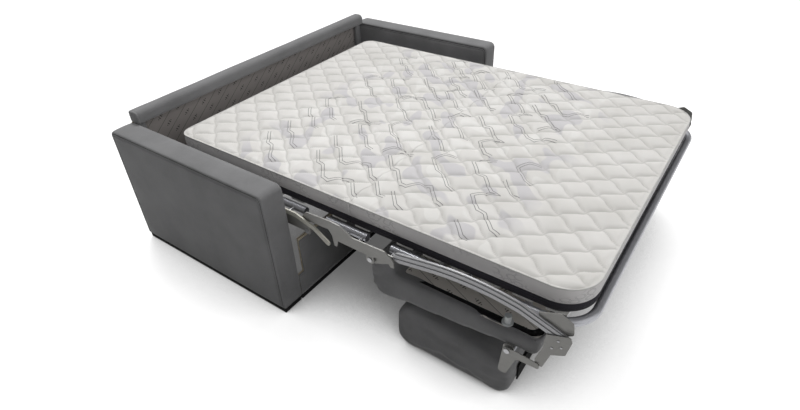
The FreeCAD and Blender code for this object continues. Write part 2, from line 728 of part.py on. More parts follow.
# Side plates of the three sections, their pins and the spacers to the tubes
def side_plates():
    # The middle plate: an upper band from the first hinge, and a stop hook past the second one
    middle_shares = [
        (-0.056, -0.16), (-0.056, 0.62), (0.02, 0.93), (0.42, 1.0), (0.56, 0.97), (0.75, 0.66),
        (1.22, 0.70), (1.345, 0.40), (1.35, 0.12), (1.30, 0.10), (1.235, 0.36), (1.10, 0.24),
        (1.056, 0.20), (1.056, -0.16), (0.944, -0.16), (0.944, 0.17), (0.515, 0.20), (0.49, -0.10),
        (0.45, -0.10), (0.43, 0.35), (0.38, 0.58), (0.056, 0.55), (0.056, -0.16),
    ]
    middle_rounds = [
        ((0, 13, 14, 22), lobe_radius * 0.9), ((1, 2, 6, 7), lobe_radius), ((4, 5), lobe_radius * 1.5),
    ]
    head_shares = [(-0.05, -0.15), (1.08, -0.15), (1.08, 0.42), (0.2, 0.42), (-0.05, 0.15)]
    hanger_shares = [(-0.14, -0.15), (0.14, -0.15), (0.14, 0.42), (-0.14, 0.42)]
    foot_shares = [(-0.05, -0.15), (-0.05, 0.13), (0.16, 0.52), (0.32, 0.52), (0.32, 0.2), (0.06, -0.15)]
    pivot, hanger_y = rear - front_pivot, rear - rear_pivot
    span = pivot - hinge_one
    hanger_reach = tube_radius * 1.6
    hanger_spots = (hanger_y - hanger_reach, hanger_y + hanger_reach)
    plate_spot, rail_spot = hinge_two - middle_length * 0.26, rail_begin - rail_length * 0.06
    spots = {
        "head": (hinge_one + span * 0.35, hinge_one + span * 0.8, *hanger_spots),
        "middle": (hinge_one - middle_length * 0.58, hinge_two + middle_length * 0.22),
        "foot": (plate_spot, rail_spot, bracket_y - tube_radius * 0.54),
    }
    start = tube_side + tube_radius + fit_gap
    inner_end = inner_plate_side - plate_thickness
    ends = {
        "head": (inner_end,) * 4,
        "middle": (plate_side - plate_thickness,) * 2,
        "foot": (inner_end, rail_side - rail_thickness, corner_side),
    }
    head_pins, foot_pins, hangers, foot_plates = [], [], [], []
    spacers = {body: [] for body in spots}
    for name, sign in SIDES.items():
        outer_x = side_range(sign, plate_side - plate_thickness, plate_side)
        inner_x = side_range(sign, inner_end, inner_plate_side)
        outline = placed(middle_shares, (hinge_one, axis_height), (-middle_length, plate_rise))
        holes = [((y, axis_height), HOLE) for y in (hinge_one, hinge_two)]
        keep(prism(f"{name}_middle_plate", outline, outer_x, middle_rounds, holes=holes))
        outline = placed(head_shares, (hinge_one, axis_height), (span, plate_rise))
        holes = [((y, axis_height), HOLE) for y in (hinge_one, pivot)]
        rounds = [((0, 1), lobe_radius * 0.9)]
        keep(prism(f"{name}_head_plate", outline, inner_x, rounds, holes=holes))
        outline = placed(hanger_shares, (hanger_y, axis_height), (span, plate_rise))
        holes = [((hanger_y, axis_height), HOLE)]
        hangers.append(prism(f"{name}_rear_hanger", outline, inner_x, [((0, 1), lobe_radius)], holes=holes))
        outline = placed(foot_shares, (hinge_two, axis_height), (-middle_length, plate_rise))
        holes = [((hinge_two, axis_height), HOLE)]
        rounds = [((0,), lobe_radius * 0.9)]
        foot_plates.append(prism(f"{name}_foot_plate", outline, inner_x, rounds, holes=holes))

        inner = inner_end - fit_gap
        fold_end, swing_end = plate_side + fit_gap, swing_side + fit_gap
        head_pins.append(pin(f"{name}_first_fold_pin", sign, hinge_one, axis_height, inner, fold_end))
        foot_pins.append(pin(f"{name}_second_fold_pin", sign, hinge_two, axis_height, inner, fold_end))
        for place, y in (("front", pivot), ("rear", hanger_y)):
            head_pins.append(pin(f"{name}_{place}_head_pin", sign, y, axis_height, inner, swing_end))
        for body, places in spots.items():
            for number, (y, end) in enumerate(zip(places, ends[body])):
                x = side_range(sign, start, end)
                label = f"{name}_{body}_spacer{number}"
                z = tube_height + spacer_radius * 0.6
                spacers[body].append(rod(label, "x", x[0], y, z, end - start, spacer_radius))
    group("rear_hangers", hangers)
    group("foot_plates", foot_plates)
    group("head_pins", head_pins)
    for body, rods in spacers.items():
        group(f"{body}_spacers", rods)
    return foot_pins


def arched_rail(name, sign):
    """The curved side rail of the foot section, with two raised ribs along its outer face."""
    # Each row: place along the rail and height of its middle line
    line_shares = [(0.0, 0.0), (0.24, 0.70), (0.75, 0.62), (0.92, -0.30), (1.0, -0.85)]
    crown_shares = (0.52, 1.02)
    spans = (-rail_length, rail_arch)

    def band(label, shift, half, x, rounds):
        """The rail's run between two heights about its middle line."""
        low, high = (rail_begin, rail_height + shift - half), (rail_begin, rail_height + shift + half)
        upper, lower = placed(line_shares, high, spans), placed(line_shares, low, spans)
        upper[1] += placed([crown_shares], high, spans)[0]
        lower[2] += placed([crown_shares], low, spans)[0]
        return prism(label, upper + lower[::-1], x, rounds)

    ends = [((0, len(line_shares) * 2 - 1), rail_width * 0.45)]
    plate_x = side_range(sign, rail_side - rail_thickness, rail_side)
    rib_x = side_range(sign, rail_side, rail_side + rail_rib)
    pieces = [band(f"{name}_rail_band", NONE, rail_width * 0.5, plate_x, ends)]
    rib_shares = (-0.22, 0.22)
    for number, share in enumerate(rib_shares):
        pieces.append(band(f"{name}_rail_rib{number}", rail_width * share, rail_rib_width * 0.5, rib_x, ()))
    return fuse(f"{name}_arched_rail", pieces)


# Brackets at the foot end: a corner bracket, a drop bracket and the crank of the back cushion
def foot_brackets(pins):
    corner_shares = [
        (-0.25, 0.72), (-0.33, 0.88), (0.35, 1.0), (0.78, 0.92), (0.86, 0.74), (0.55, 0.66), (0.1, 0.62),
    ]
    corner_rounds = [((2, 3, 4), lobe_radius * 0.7)]
    drop_shares = [
        (0.06, 0.62), (0.80, 0.74), (0.88, 0.66), (0.76, 0.40), (0.32, 0.30), (0.12, 0.0), (-0.12, 0.0),
        (-0.16, 0.10), (0.02, 0.36),
    ]
    drop_rounds = [((1, 2, 3), lobe_radius * 0.6), ((5, 6), lobe_radius * 0.5)]
    crank_shares = [
        (-0.13, 0.12), (0.30, 0.16), (0.98, 0.10), (1.06, -0.14), (0.32, -0.17), (0.06, -1.12),
        (-0.22, -1.12),
    ]
    crank_rounds = [((0, 5, 6), lobe_radius * 0.7), ((2, 3), lobe_radius * 0.55), ((4,), lobe_radius)]
    pivot = (pivot_y, back_pivot_height)
    origin, spans = (bracket_y, back_pivot_height), (-bracket_width, bracket_height)
    corners, drops, cranks, plates = [], [], [], []
    plate_shares = [(-1, -1), (1, -1), (1, 1), (-1, 1)]
    plate_outline = placed(plate_shares, pivot, (seat_plate_reach, seat_plate_reach))
    for name, sign in SIDES.items():
        keep(arched_rail(name, sign))
        x = side_range(sign, corner_side, corner_side + bracket_thickness)
        outline = placed(corner_shares, origin, spans)
        corners.append(prism(f"{name}_corner_bracket", outline, x, corner_rounds))
        x = side_range(sign, drop_side, drop_side + bracket_thickness)
        outline = placed(drop_shares, origin, spans)
        drops.append(prism(f"{name}_drop_bracket", outline, x, drop_rounds))
        x = side_range(sign, crank_side, crank_side + bracket_thickness)
        outline = placed(crank_shares, pivot, (-crank_reach, crank_drop))
        cranks.append(prism(f"{name}_back_crank", outline, x, crank_rounds, holes=[(pivot, HOLE)]))
        x = side_range(sign, cushion_side + fit_gap, cushion_side + fit_gap + seat_plate)
        plate_rounds = [((0, 1, 2, 3), lobe_radius)]
        plates.append(prism(f"{name}_seat_plate", plate_outline, x, plate_rounds, holes=[(pivot, HOLE)]))
        outer = crank_side + bracket_thickness + fit_gap
        pins.append(pin(f"{name}_back_pin", sign, *pivot, cushion_side + fit_gap, outer))
    group("corner_brackets", corners)
    group("drop_brackets", drops)
    group("back_cranks", cranks)
    group("seat_plates", plates)
    group("foot_pins", pins)


# Seat cushion, upside down under the foot section: its roll shows behind, its lining on top
def seat_unit():
    # Each row: place along the cushion, height, and for a curved side the place it passes
    seat_shares = [
        (0.0, 1.0), (0.0, 0.0), (0.28, 0.085, 0.64, 0.215), (1.0, 0.402), (1.0, 0.838), (0.804, 0.665),
        (0.124, 0.69), (0.124, 1.0),
    ]
    rounds = [
        ((0, 7), seat_roll_radius), ((1,), seat_nose_radius), ((3,), seat_rear_radius),
        ((4,), seat_end_radius), ((6,), seat_inner_radius),
    ]
    outline = placed(seat_shares, (seat_near, seat_under), (-seat_length, seat_depth))
    body = prism("seat_cushion_body", outline, (-cushion_side, cushion_side), rounds, seat_rim)
    side = cushion_side - recess_side
    y = (seat_end + recess_end, seat_near - recess_start)
    floor = board_height - board_thickness
    recess = box("seat_recess", (-side, side), y, (floor, seat_under + seat_depth + fit_gap))
    keep(cut("seat_cushion", body, [recess]))
    side = side - fit_gap
    board_y = (y[0] + fit_gap, y[1] - fit_gap)
    keep(box("seat_board", (-side, side), board_y, (floor + fit_gap, board_height)))

    # Each post stands between the board and the middle of one slat of the foot section
    supports = []
    top = slat_top - slat_thickness - fit_gap
    half = post_width * 0.5
    first_slat = hinge_two - tube_end_gap - slat_width * 0.5
    post_slats = (1, 4)
    for name, sign in SIDES.items():
        for number, slat in enumerate(post_slats):
            x = ((tube_side - post_inset) * sign - half, (tube_side - post_inset) * sign + half)
            middle = first_slat - slat_pitch * slat
            post_y = (middle - half, middle + half)
            supports.append(box(f"{name}_seat_post{number}", x, post_y, (board_height, top)))
    bar_y = seat_end - end_bar_radius - fit_gap
    bar_z = back_pivot_height + lobe_radius * 0.7
    reach = drop_side - fit_gap
    supports.append(rod("seat_end_bar", "x", -reach, bar_y, bar_z, reach * 2, end_bar_radius))
    group("seat_supports", supports)

    buffers = []
    for name, sign in SIDES.items():
        spot = ((side - buffer_radius) * sign, seat_end + buffer_inset, board_height)
        base = rod(f"{name}_buffer_base", "z", *spot, buffer_base, buffer_radius)
        post = rod(f"{name}_buffer_post", "z", *spot, buffer_height, buffer_post_radius)
        buffers.append(fuse(f"{name}_seat_buffer", [base, post]))
    group("seat_buffers", buffers)


# Back cushion, on the floor under the seat cushion, with the bar that its cranks turn
def back_unit():
    back_shares = [(0.0, 0.0), (1.0, 0.0), (1.0, 0.761, 0.5, 0.905), (0.02, 1.0)]
    rounds = [
        ((0,), back_top_radius), ((1,), back_low_radius), ((2,), back_end_radius),
        ((3,), back_front_radius),
    ]
    end = pivot_y - back_overhang
    outline = placed(back_shares, (end + back_length, NONE), (-back_length, back_depth))
    keep(prism("back_cushion", outline, (-cushion_side, cushion_side), rounds, back_rim))
    side = cushion_side - back_board_inset
    board_z = (back_low_radius + fit_gap, back_depth * 0.6)
    keep(box("back_end_board", (-side, side), (end - back_end_board, end), board_z))
    reach = crank_side - fit_gap
    bar_y = pivot_y + crank_reach * 0.09
    keep(rod("back_hinge_bar", "x", -reach, bar_y, hinge_bar_height, reach * 2, end_bar_radius))


sofa_arms()
plinths()
sofa_back()
sofa_front()
mattress()
bed_frame()
swing_mechanism()
foot_brackets(side_plates())
seat_unit()
back_unit()
doc.recompute()

for item in doc.Objects:
    state = set(item.State) & {"Invalid", "Error"}
    if state:
        raise SystemExit(f"{item.Label} is {state}")
os.makedirs("parts", exist_ok=True)
for part in parts:
    shape = part.Shape
    if shape.isNull() or not shape.isValid() or not shape.Solids:
        raise SystemExit(f"{part.Label} has no valid solid")
for part in parts:
    part.Shape.exportStep(f"parts/{part.Label}.step")
print(len(parts), "nodes,", sum(len(p.Shape.Solids) for p in parts), "solids")
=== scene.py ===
import math
import random

import bmesh
import bpy
import numpy as np
from mathutils import Matrix, Vector, noise
from mathutils.bvhtree import BVHTree


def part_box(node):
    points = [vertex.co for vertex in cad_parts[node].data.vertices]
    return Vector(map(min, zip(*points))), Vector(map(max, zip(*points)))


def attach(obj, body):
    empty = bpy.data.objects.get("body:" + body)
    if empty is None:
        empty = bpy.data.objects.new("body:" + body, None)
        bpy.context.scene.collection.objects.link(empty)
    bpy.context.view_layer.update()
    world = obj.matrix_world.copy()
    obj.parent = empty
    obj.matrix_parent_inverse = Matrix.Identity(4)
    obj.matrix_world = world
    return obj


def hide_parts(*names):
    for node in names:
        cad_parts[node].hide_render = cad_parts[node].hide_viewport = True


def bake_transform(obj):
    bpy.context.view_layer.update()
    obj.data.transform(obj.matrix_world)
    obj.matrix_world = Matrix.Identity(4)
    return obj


# Sofa bed, open as a bed. Metres. The rear of the sofa is towards +Y and the foot of the bed
# towards -Y. Steel pieces are the model's own, and every soft piece is made here in its place.

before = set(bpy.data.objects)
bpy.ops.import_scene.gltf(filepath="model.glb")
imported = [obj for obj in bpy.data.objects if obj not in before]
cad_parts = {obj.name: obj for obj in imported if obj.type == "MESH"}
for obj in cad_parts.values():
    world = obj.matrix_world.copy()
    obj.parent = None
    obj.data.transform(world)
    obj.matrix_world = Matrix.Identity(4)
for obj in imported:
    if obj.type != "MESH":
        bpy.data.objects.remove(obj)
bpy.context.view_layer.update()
MM = 0.001
SIDES = {"left": -1, "right": 1}
PARTS = ("head", "middle", "foot")

# The woven pattern of the mattress top: strokes at a slant, in the zone about its middle
STROKE_TURN = math.radians(41)
PATTERN_REACH = 0.62


# Colours and materials

def tone(red, green, blue):
    """A colour given as it shows on a screen, from 0 to 255, in linear light."""
    def linear(value):
        share = value / 255
        return share / 12.92 if share <= 0.04045 else ((share + 0.055) / 1.055) ** 2.4
    return (linear(red), linear(green), linear(blue), 1.0)


def scaled(color, share):
    """A lighter or darker colour."""
    return tuple(value * share for value in color[:3]) + (1.0,)


def put(target, **settings):
    """Sets several properties of a thing, and gives it back."""
    for name, value in settings.items():
        setattr(target, name, value)
    return target


class Nodes:
    """Short ways to add nodes to a tree."""

    def __init__(self, tree):
        self.tree = tree

    def feed(self, socket, value):
        """Links a socket to another, or sets it to a plain value."""
        if isinstance(value, bpy.types.NodeSocket):
            self.tree.links.new(value, socket)
        else:
            socket.default_value = value

    def add(self, kind, inputs=None, **settings):
        made = put(self.tree.nodes.new("ShaderNode" + kind), **settings)
        for name, value in (inputs or {}).items():
            self.feed(made.inputs[name], value)
        return made

    def math(self, operation, *values):
        return self.add("Math", dict(enumerate(values)), operation=operation).outputs[0]

    def spread(self, value, low, high, to_low=0.0, to_high=1.0):
        inputs = {"Value": value, "From Min": low, "From Max": high, "To Min": to_low, "To Max": to_high}
        return self.add("MapRange", inputs).outputs[0]


class Shade(Nodes):
    """A material in the making, with its shader."""

    def __init__(self, name, roughness, metallic=0.0, sheen=0.0, specular=0.5):
        self.material = bpy.data.materials.new(name)
        self.material.use_nodes = True
        super().__init__(self.material.node_tree)
        self.shader = self.tree.nodes["Principled BSDF"]
        looks = {"Roughness": roughness, "Metallic": metallic, "Sheen Weight": sheen, "Sheen Roughness": 0.5}
        looks["Specular IOR Level"] = specular
        for socket, value in looks.items():
            self.shader.inputs[socket].default_value = value
        coordinates = self.add("TexCoord").outputs
        self.object, self.uv = coordinates["Object"], coordinates["UV"]

    def noise(self, scale, detail=2.0, place=None, rough=0.5):
        inputs = {"Vector": place or self.object, "Scale": scale, "Detail": detail, "Roughness": rough}
        return self.add("TexNoise", inputs).outputs["Fac"]

    def stretch(self, place, *factors):
        return self.add("VectorMath", {0: place, 1: factors}, operation="MULTIPLY").outputs[0]

    def turned(self, place, angle):
        return self.add("Mapping", {"Vector": place, "Rotation": (0.0, 0.0, angle)}).outputs[0]

    def axes(self, place):
        return self.add("SeparateXYZ", {"Vector": place}).outputs

    def window(self, value, low, high, soft):
        """1 where the value is between low and high, with soft edges."""
        rise, fall = [self.spread(value, edge - soft, edge + soft) for edge in (low, high)]
        return self.math("SUBTRACT", rise, fall)

    def mix(self, first, second, share):
        inputs = {"Factor": share, "A": first, "B": second}
        return self.add("Mix", inputs, data_type="RGBA").outputs["Result"]

    def cover(self, base, color, mask, share):
        """Lays a colour over the base where the mask is, at most by the share."""
        return self.mix(base, color, self.math("MULTIPLY", mask, share))

    def weave(self, place, pitch):
        """The height of two crossed sets of threads."""
        def threads(turn):
            inputs = {"Vector": self.turned(place, turn), "Scale": 1.0 / pitch, "Distortion": 0.3}
            return self.add("TexWave", inputs, bands_direction="X").outputs["Fac"]
        return self.math("MULTIPLY", threads(0.0), threads(math.pi / 2))

    def bump(self, *layers):
        """Adds height layers, each a socket with its depth in metres."""
        normal = None
        for height, depth in layers:
            inputs = {"Height": height, "Strength": 1.0, "Distance": depth}
            if normal is not None:
                inputs["Normal"] = normal
            normal = self.add("Bump", inputs).outputs["Normal"]
        self.feed(self.shader.inputs["Normal"], normal)

    def finish(self, color):
        self.feed(self.shader.inputs["Base Color"], color)
        return self.material


def suede(name, color):
    """Brushed upholstery: soft clouds of nap over a fine grain."""
    shade = Shade(name, 0.92, sheen=0.35, specular=0.15)
    clouds, fine = shade.noise(7.0, 3.0), shade.noise(420.0, 2.0)
    nap = shade.noise(60.0, 4.0, rough=0.7)
    light, dark = scaled(color, 1.13), scaled(color, 0.87)
    base = shade.mix(dark, light, shade.spread(clouds, 0.3, 0.7))
    base = shade.cover(base, light, shade.spread(nap, 0.45, 0.75), 0.35)
    base = shade.cover(base, dark, shade.spread(fine, 0.5, 0.8), 0.4)
    shade.bump((nap, 0.5 * MM), (fine, 0.25 * MM))
    return shade.finish(base)


def quilt_cloth():
    """Knitted mattress cover, with faint grey and white patches woven into its middle, and painted shade
    along its quilting seams.
    """
    shade = Shade("mattress_knit", 0.85, sheen=0.15, specular=0.2)
    place = shade.uv
    clouds = shade.spread(shade.noise(5.0, 3.0, place), 0.35, 0.65)
    base = shade.mix(tone(210, 208, 204), tone(221, 219, 216), clouds)
    middle = shade.window(shade.axes(place)["Y"], -PATTERN_REACH, PATTERN_REACH, 0.05)
    patches = shade.noise(1.0, 0.0, shade.stretch(shade.turned(place, -STROKE_TURN), 6.0, 11.0, 1.0))
    grey = shade.math("MULTIPLY", shade.spread(patches, 0.58, 0.61), middle)
    white = shade.math("MULTIPLY", shade.spread(patches, 0.40, 0.37), middle)
    base = shade.cover(base, tone(196, 194, 197), grey, 0.75)
    base = shade.cover(base, tone(228, 227, 224), white, 0.5)
    # Painted shade along the quilting seams, from a value stored on the mesh
    painted_seam_shade = shade.add("Attribute", attribute_name="painted_seam_shade").outputs["Fac"]
    base = shade.cover(base, tone(150, 148, 144), painted_seam_shade, 0.45)
    shade.bump((shade.weave(place, 3.2 * MM), 0.12 * MM))
    return shade.finish(base)


def side_cloth():
    """Grey border cloth of the mattress, with a faint pattern of arcs."""
    shade = Shade("mattress_border", 0.8, sheen=0.2, specular=0.25)
    place = shade.uv
    inputs = {"Vector": shade.stretch(place, 5.5, 9.0, 1.0), "Randomness": 0.6}
    cells = shade.add("TexVoronoi", inputs, voronoi_dimensions="2D").outputs["Distance"]
    bands = [shade.window(cells, start, start + 0.025, 0.01) for start in (0.34, 0.44)]
    broken = shade.spread(shade.noise(6.0, 1.0, place), 0.5, 0.55)
    arcs = shade.math("MULTIPLY", shade.math("MAXIMUM", *bands), broken)
    base = shade.mix(tone(226, 223, 222), tone(212, 210, 210), shade.noise(9.0, 3.0, place))
    shade.bump((shade.weave(place, 3.0 * MM), 0.15 * MM))
    return shade.finish(shade.cover(base, tone(112, 111, 114), arcs, 0.8))


def plain_cloth(name, color, pitch=2.4 * MM, sheen=0.1):
    shade = Shade(name, 0.9, sheen=sheen, specular=0.2)
    shade.bump((shade.weave(shade.object, pitch), 0.2 * MM), (shade.noise(30.0, 3.0), 0.5 * MM))
    return shade.finish(shade.mix(color, scaled(color, 0.85), shade.noise(14.0, 4.0)))


STRIPE_REACH, TICK_REACH = 0.028, 0.045  # half the pitch of the lining's stripes and of its ticks


def lining_cloth(name, color, line, turn, plane):
    """Printed lining: slanting pin stripes with small generic ticks between them."""
    shade = Shade(name, 0.85, sheen=0.1, specular=0.25)
    across, up = [shade.axes(shade.object)[axis] for axis in plane]
    flat = shade.add("CombineXYZ", {"X": across, "Y": up}).outputs[0]
    u, v = [shade.axes(shade.turned(flat, turn))[axis] for axis in "XY"]
    stripe = shade.window(shade.math("PINGPONG", u, STRIPE_REACH), -0.001, 0.0009, 0.0005)
    # The ticks: a short bar and a dot in every cell of a slanting grid
    cell_u = shade.math("PINGPONG", shade.math("ADD", u, STRIPE_REACH), STRIPE_REACH)
    cell_v = shade.math("PINGPONG", v, TICK_REACH)
    marks = stripe
    for half_width, start, end in ((0.0060, 0.004, 0.0085), (0.0022, 0.013, 0.0175)):
        wide = shade.window(cell_u, -0.001, half_width, 0.0008)
        long = shade.window(cell_v, start, end, 0.0008)
        marks = shade.math("MAXIMUM", marks, shade.math("MULTIPLY", wide, long))
    base = shade.mix(color, scaled(color, 0.85), shade.noise(10.0, 3.0))
    shade.bump((shade.noise(300.0, 2.0), 0.15 * MM), (shade.noise(18.0, 3.0), 0.6 * MM))
    return shade.finish(shade.cover(base, line, marks, 0.9))


def coated_steel(name, color, roughness, metallic):
    """Powder-coated or plated steel with faint draw lines and handling marks."""
    shade = Shade(name, roughness, metallic)
    streaks = shade.noise(40.0, 3.0, shade.stretch(shade.object, 1.0, 0.05, 1.0))
    marks = shade.noise(26.0, 5.0, rough=0.65)
    rough = shade.spread(marks, 0.3, 0.75, roughness * 0.9, min(1.0, roughness * 1.15))
    shade.feed(shade.shader.inputs["Roughness"], rough)
    shade.bump((shade.noise(500.0, 2.0), 0.05 * MM))
    return shade.finish(shade.mix(color, scaled(color, 0.92), shade.spread(streaks, 0.35, 0.7)))


def timber(name, color):
    """Planed wood with its grain along X."""
    shade = Shade(name, 0.6)
    grain = shade.noise(1.0, 5.0, shade.stretch(shade.object, 4.0, 60.0, 60.0), 0.6)
    shade.bump((grain, 0.3 * MM))
    return shade.finish(shade.mix(scaled(color, 0.68), color, shade.spread(grain, 0.3, 0.7)))


def clear_plastic():
    shade = Shade("clear_cup", 0.18)
    shade.shader.inputs["Transmission Weight"].default_value = 0.22
    shade.shader.inputs["IOR"].default_value = 1.45
    shade.bump((shade.noise(90.0, 2.0), 0.1 * MM))
    return shade.finish(shade.mix(tone(226, 229, 229), tone(204, 208, 209), shade.noise(40.0)))


GREY = suede("grey_suede", tone(118, 118, 119))
# A darker copy of the grey suede: painted shade in the arms' seam and stitch grooves
PAINTED_SEAM_SHADOW = suede("seam_shadow", tone(52, 52, 53))
KNIT = quilt_cloth()
BORDER = side_cloth()
WEFT = plain_cloth("woven_line", tone(140, 139, 138), 1.0 * MM)
PIPING = plain_cloth("mattress_piping", tone(214, 213, 210), 1.6 * MM)
STRIP = plain_cloth("mattress_strip", tone(52, 50, 57), 1.8 * MM)
# Black cloth: the plinths' own colour, and painted shade on the back's end board and in the seat's gaps
BLACK_FELT_AND_SHADE = plain_cloth("black_felt_and_shade", tone(16, 16, 17), 2.0 * MM, 0.02)
DARK_LINING = lining_cloth("dark_lining", tone(142, 137, 134), tone(26, 25, 25), 0.9, "XZ")
LIGHT_LINING = lining_cloth("light_lining", tone(214, 209, 202), tone(70, 67, 64), 0.42, "XY")
SILVER = coated_steel("silver_coat", tone(180, 181, 186), 0.36, 0.6)
RAIL = coated_steel("rail_coat", tone(152, 152, 154), 0.4, 0.5)
PLATE = coated_steel("grey_coat", tone(132, 131, 128), 0.46, 0.4)
DARK_STEEL = coated_steel("dark_coat", tone(66, 66, 67), 0.55, 0.3)
BRIGHT = coated_steel("zinc", tone(168, 168, 170), 0.3, 0.85)
CREAM = coated_steel("cream_coat", tone(176, 174, 164), 0.5, 0.15)
PINE = timber("pine", tone(196, 184, 162))
SLAT = timber("slat_wood", tone(238, 237, 234))
CLEAR = clear_plastic()


def both(*names):
    return [f"{side}_{name}" for name in names for side in SIDES]


NODE_FINISH = {
    GREY: both("arm_cover") + ["back_rail_pad", "back_rear_cover", "front_rail_cover", "back_stiles"],
    # The plinths are black; the back's end board is black as painted shade over its lining
    BLACK_FELT_AND_SHADE: ["plinths", "back_end_board"],
    RAIL: both("arched_rail"),
    PINE: ["arm_frames", "back_frame", "front_rail_board"],
    SLAT: [f"{part}_slats" for part in PARTS],
    SILVER: both("head_tube", "foot_tube") + [
        "middle_tubes", "foot_end_tube", "head_cross_bars", "foot_cross_tube", "seat_supports",
        "back_hinge_bar", "mattress_stops",
    ],
    PLATE: both("head_plate", "middle_plate") + [
        "rear_hangers", "foot_plates", "corner_brackets", "drop_brackets", "back_cranks", "seat_plates",
    ],
    DARK_STEEL: both("base_plate"),
    CREAM: both("front_swing_arm", "rear_swing_arm"),
    BRIGHT: ["base_pins", "head_pins", "foot_pins", "base_screws"] + [f"{part}_spacers" for part in PARTS],
    CLEAR: ["seat_buffers"],
}
EDGE_WIDTHS = {PLATE: 0.0007, RAIL: 0.0007, SLAT: 0.0016, PINE: 0.0012}


def finish_nodes():
    """Gives the model's own rigid pieces their finish, and small rounds along their sharp edges."""
    for material, names in NODE_FINISH.items():
        for name in names:
            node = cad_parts[name]
            node.data.materials.clear()
            node.data.materials.append(material)
            if material in EDGE_WIDTHS:
                edges = put(node.modifiers.new("edges", "BEVEL"), width=EDGE_WIDTHS[material], segments=2)
                put(edges, limit_method="ANGLE", angle_limit=math.radians(40))


# Meshes

def placed(name, data):
    """A new object in the scene."""
    made = bpy.data.objects.new(name, data)
    bpy.context.scene.collection.objects.link(made)
    return made


def edit(mesh, change):
    """Runs a change on the mesh in its bmesh form."""
    work = bmesh.new()
    work.from_mesh(mesh)
    change(work)
    work.to_mesh(mesh)
    work.free()


def make_piece(name, vertices, faces, materials, face_material=None, face_uv=None):
    """A mesh object in the frame, with its materials and its face coordinates."""
    mesh = bpy.data.meshes.new(name)
    mesh.from_pydata([tuple(v) for v in vertices], [], faces)
    for material in materials:
        mesh.materials.append(material)
    if face_material is not None:
        mesh.polygons.foreach_set("material_index", face_material)
    if face_uv is not None:
        layer = mesh.uv_layers.new(name="rest")
        layer.data.foreach_set("uv", np.asarray(face_uv, np.float32).ravel())
    edit(mesh, lambda work: bmesh.ops.recalc_face_normals(work, faces=work.faces))
    mesh.shade_smooth()
    return placed(name, mesh)


def settle(piece, body, slot, *nodes):
    """Puts a finished piece on its body and hides the nodes that it stands for. The slot is not used."""
    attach(piece, body)
    if nodes:
        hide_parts(*nodes)
    return piece


def spans(low, high):
    """Width, depth and height of a box."""
    return [b - a for a, b in zip(low, high)]


def units(vectors):
    return vectors / np.maximum(np.linalg.norm(vectors, axis=1, keepdims=True), 1e-9)


def run_along(points):
    """How far along its line each point lies."""
    return np.concatenate([[0], np.cumsum(np.linalg.norm(np.diff(points, axis=0), axis=1))])


def bell(distance, centre, width, height):
    """A rounded ridge or furrow across a distance."""
    return height * np.exp(-((distance - centre) / width) ** 2)


def rolled(edge, radius):
    """How far a rounded edge falls back, at a distance from it."""
    return radius * (1 - np.sqrt(1 - np.clip(1 - edge / radius, 0, 1) ** 2))


@np.vectorize
def mottle(x, y, z, scale, seed):
    """Smooth unevenness from -1 to 1 at a place."""
    return noise.noise(Vector((x * scale + seed, y * scale, z * scale)))


def edge_steps(length, fine, step):
    """Places along a length: the fine ones from both ends, and even steps between them."""
    inner = length - 2 * fine[-1]
    count = max(1, round(inner / step))
    middle = [fine[-1] + inner * k / count for k in range(1, count)]
    return np.array(fine + middle + [length - f for f in reversed(fine)])


def grid_quads(index):
    """The four-sided faces of a grid of vertex numbers."""
    return np.stack([index[:-1, :-1], index[:-1, 1:], index[1:, 1:], index[1:, :-1]], -1).reshape(-1, 4)


def skin(rows, closed=False):
    """Four-sided faces between each row of vertex numbers and the next. Closed rows are rings."""
    faces = []
    for low, high in zip(rows, rows[1:]):
        if closed:
            low, high = low + low[:1], high + high[:1]
        faces += [list(face) for face in zip(low, low[1:], high[1:], high)]
    return faces


def numbers(start, count, rows=1):
    """Rows of vertex numbers in order."""
    return [list(range(start + row * count, start + (row + 1) * count)) for row in range(rows)]


def outline_distance(x, y, half_x, half_y, radius):
    """How far inside a rounded rectangle about the origin a place lies."""
    qx, qy = np.abs(x) - (half_x - radius), np.abs(y) - (half_y - radius)
    outside = np.hypot(np.maximum(qx, 0), np.maximum(qy, 0))
    return radius - outside - np.minimum(np.maximum(qx, qy), 0)


def rounded(x, y, half_x, half_y, radius):
    """Moves the corners of a square grid inwards, onto a rounded outline."""
    cx, cy = half_x - radius, half_y - radius
    a, b = np.clip((np.abs(x) - cx) / radius, 0, 1), np.clip((np.abs(y) - cy) / radius, 0, 1)
    new_x = np.where(a > 0, cx + radius * a * np.sqrt(1 - b * b / 2), np.abs(x))
    new_y = np.where(b > 0, cy + radius * b * np.sqrt(1 - a * a / 2), np.abs(y))
    return np.sign(x) * new_x, np.sign(y) * new_y


# Rivets and bolts
DOME = [(1.0, -0.4), (1.0, 0.25), (0.88, 0.62), (0.6, 0.88), (0.3, 0.98)]     # shares of radius and rise
DOME_SIDES = 20
HEAD_RADIUS, RIVET_RISE, BOLT_RISE = 0.0042, 0.0022, 0.0026
RIVET_LEAN = math.radians(40)
RIVET_ROWS = {
    "head_section": (0.30, 0.139), "middle_section": (-0.056, -0.131, -0.197, -0.248),
    "foot_section": (-0.399, -0.42, -0.62, -0.80),
}
BRACKET_BOLTS = [(-0.979, 0.422), (-0.991, 0.400), (-0.964, 0.382)]


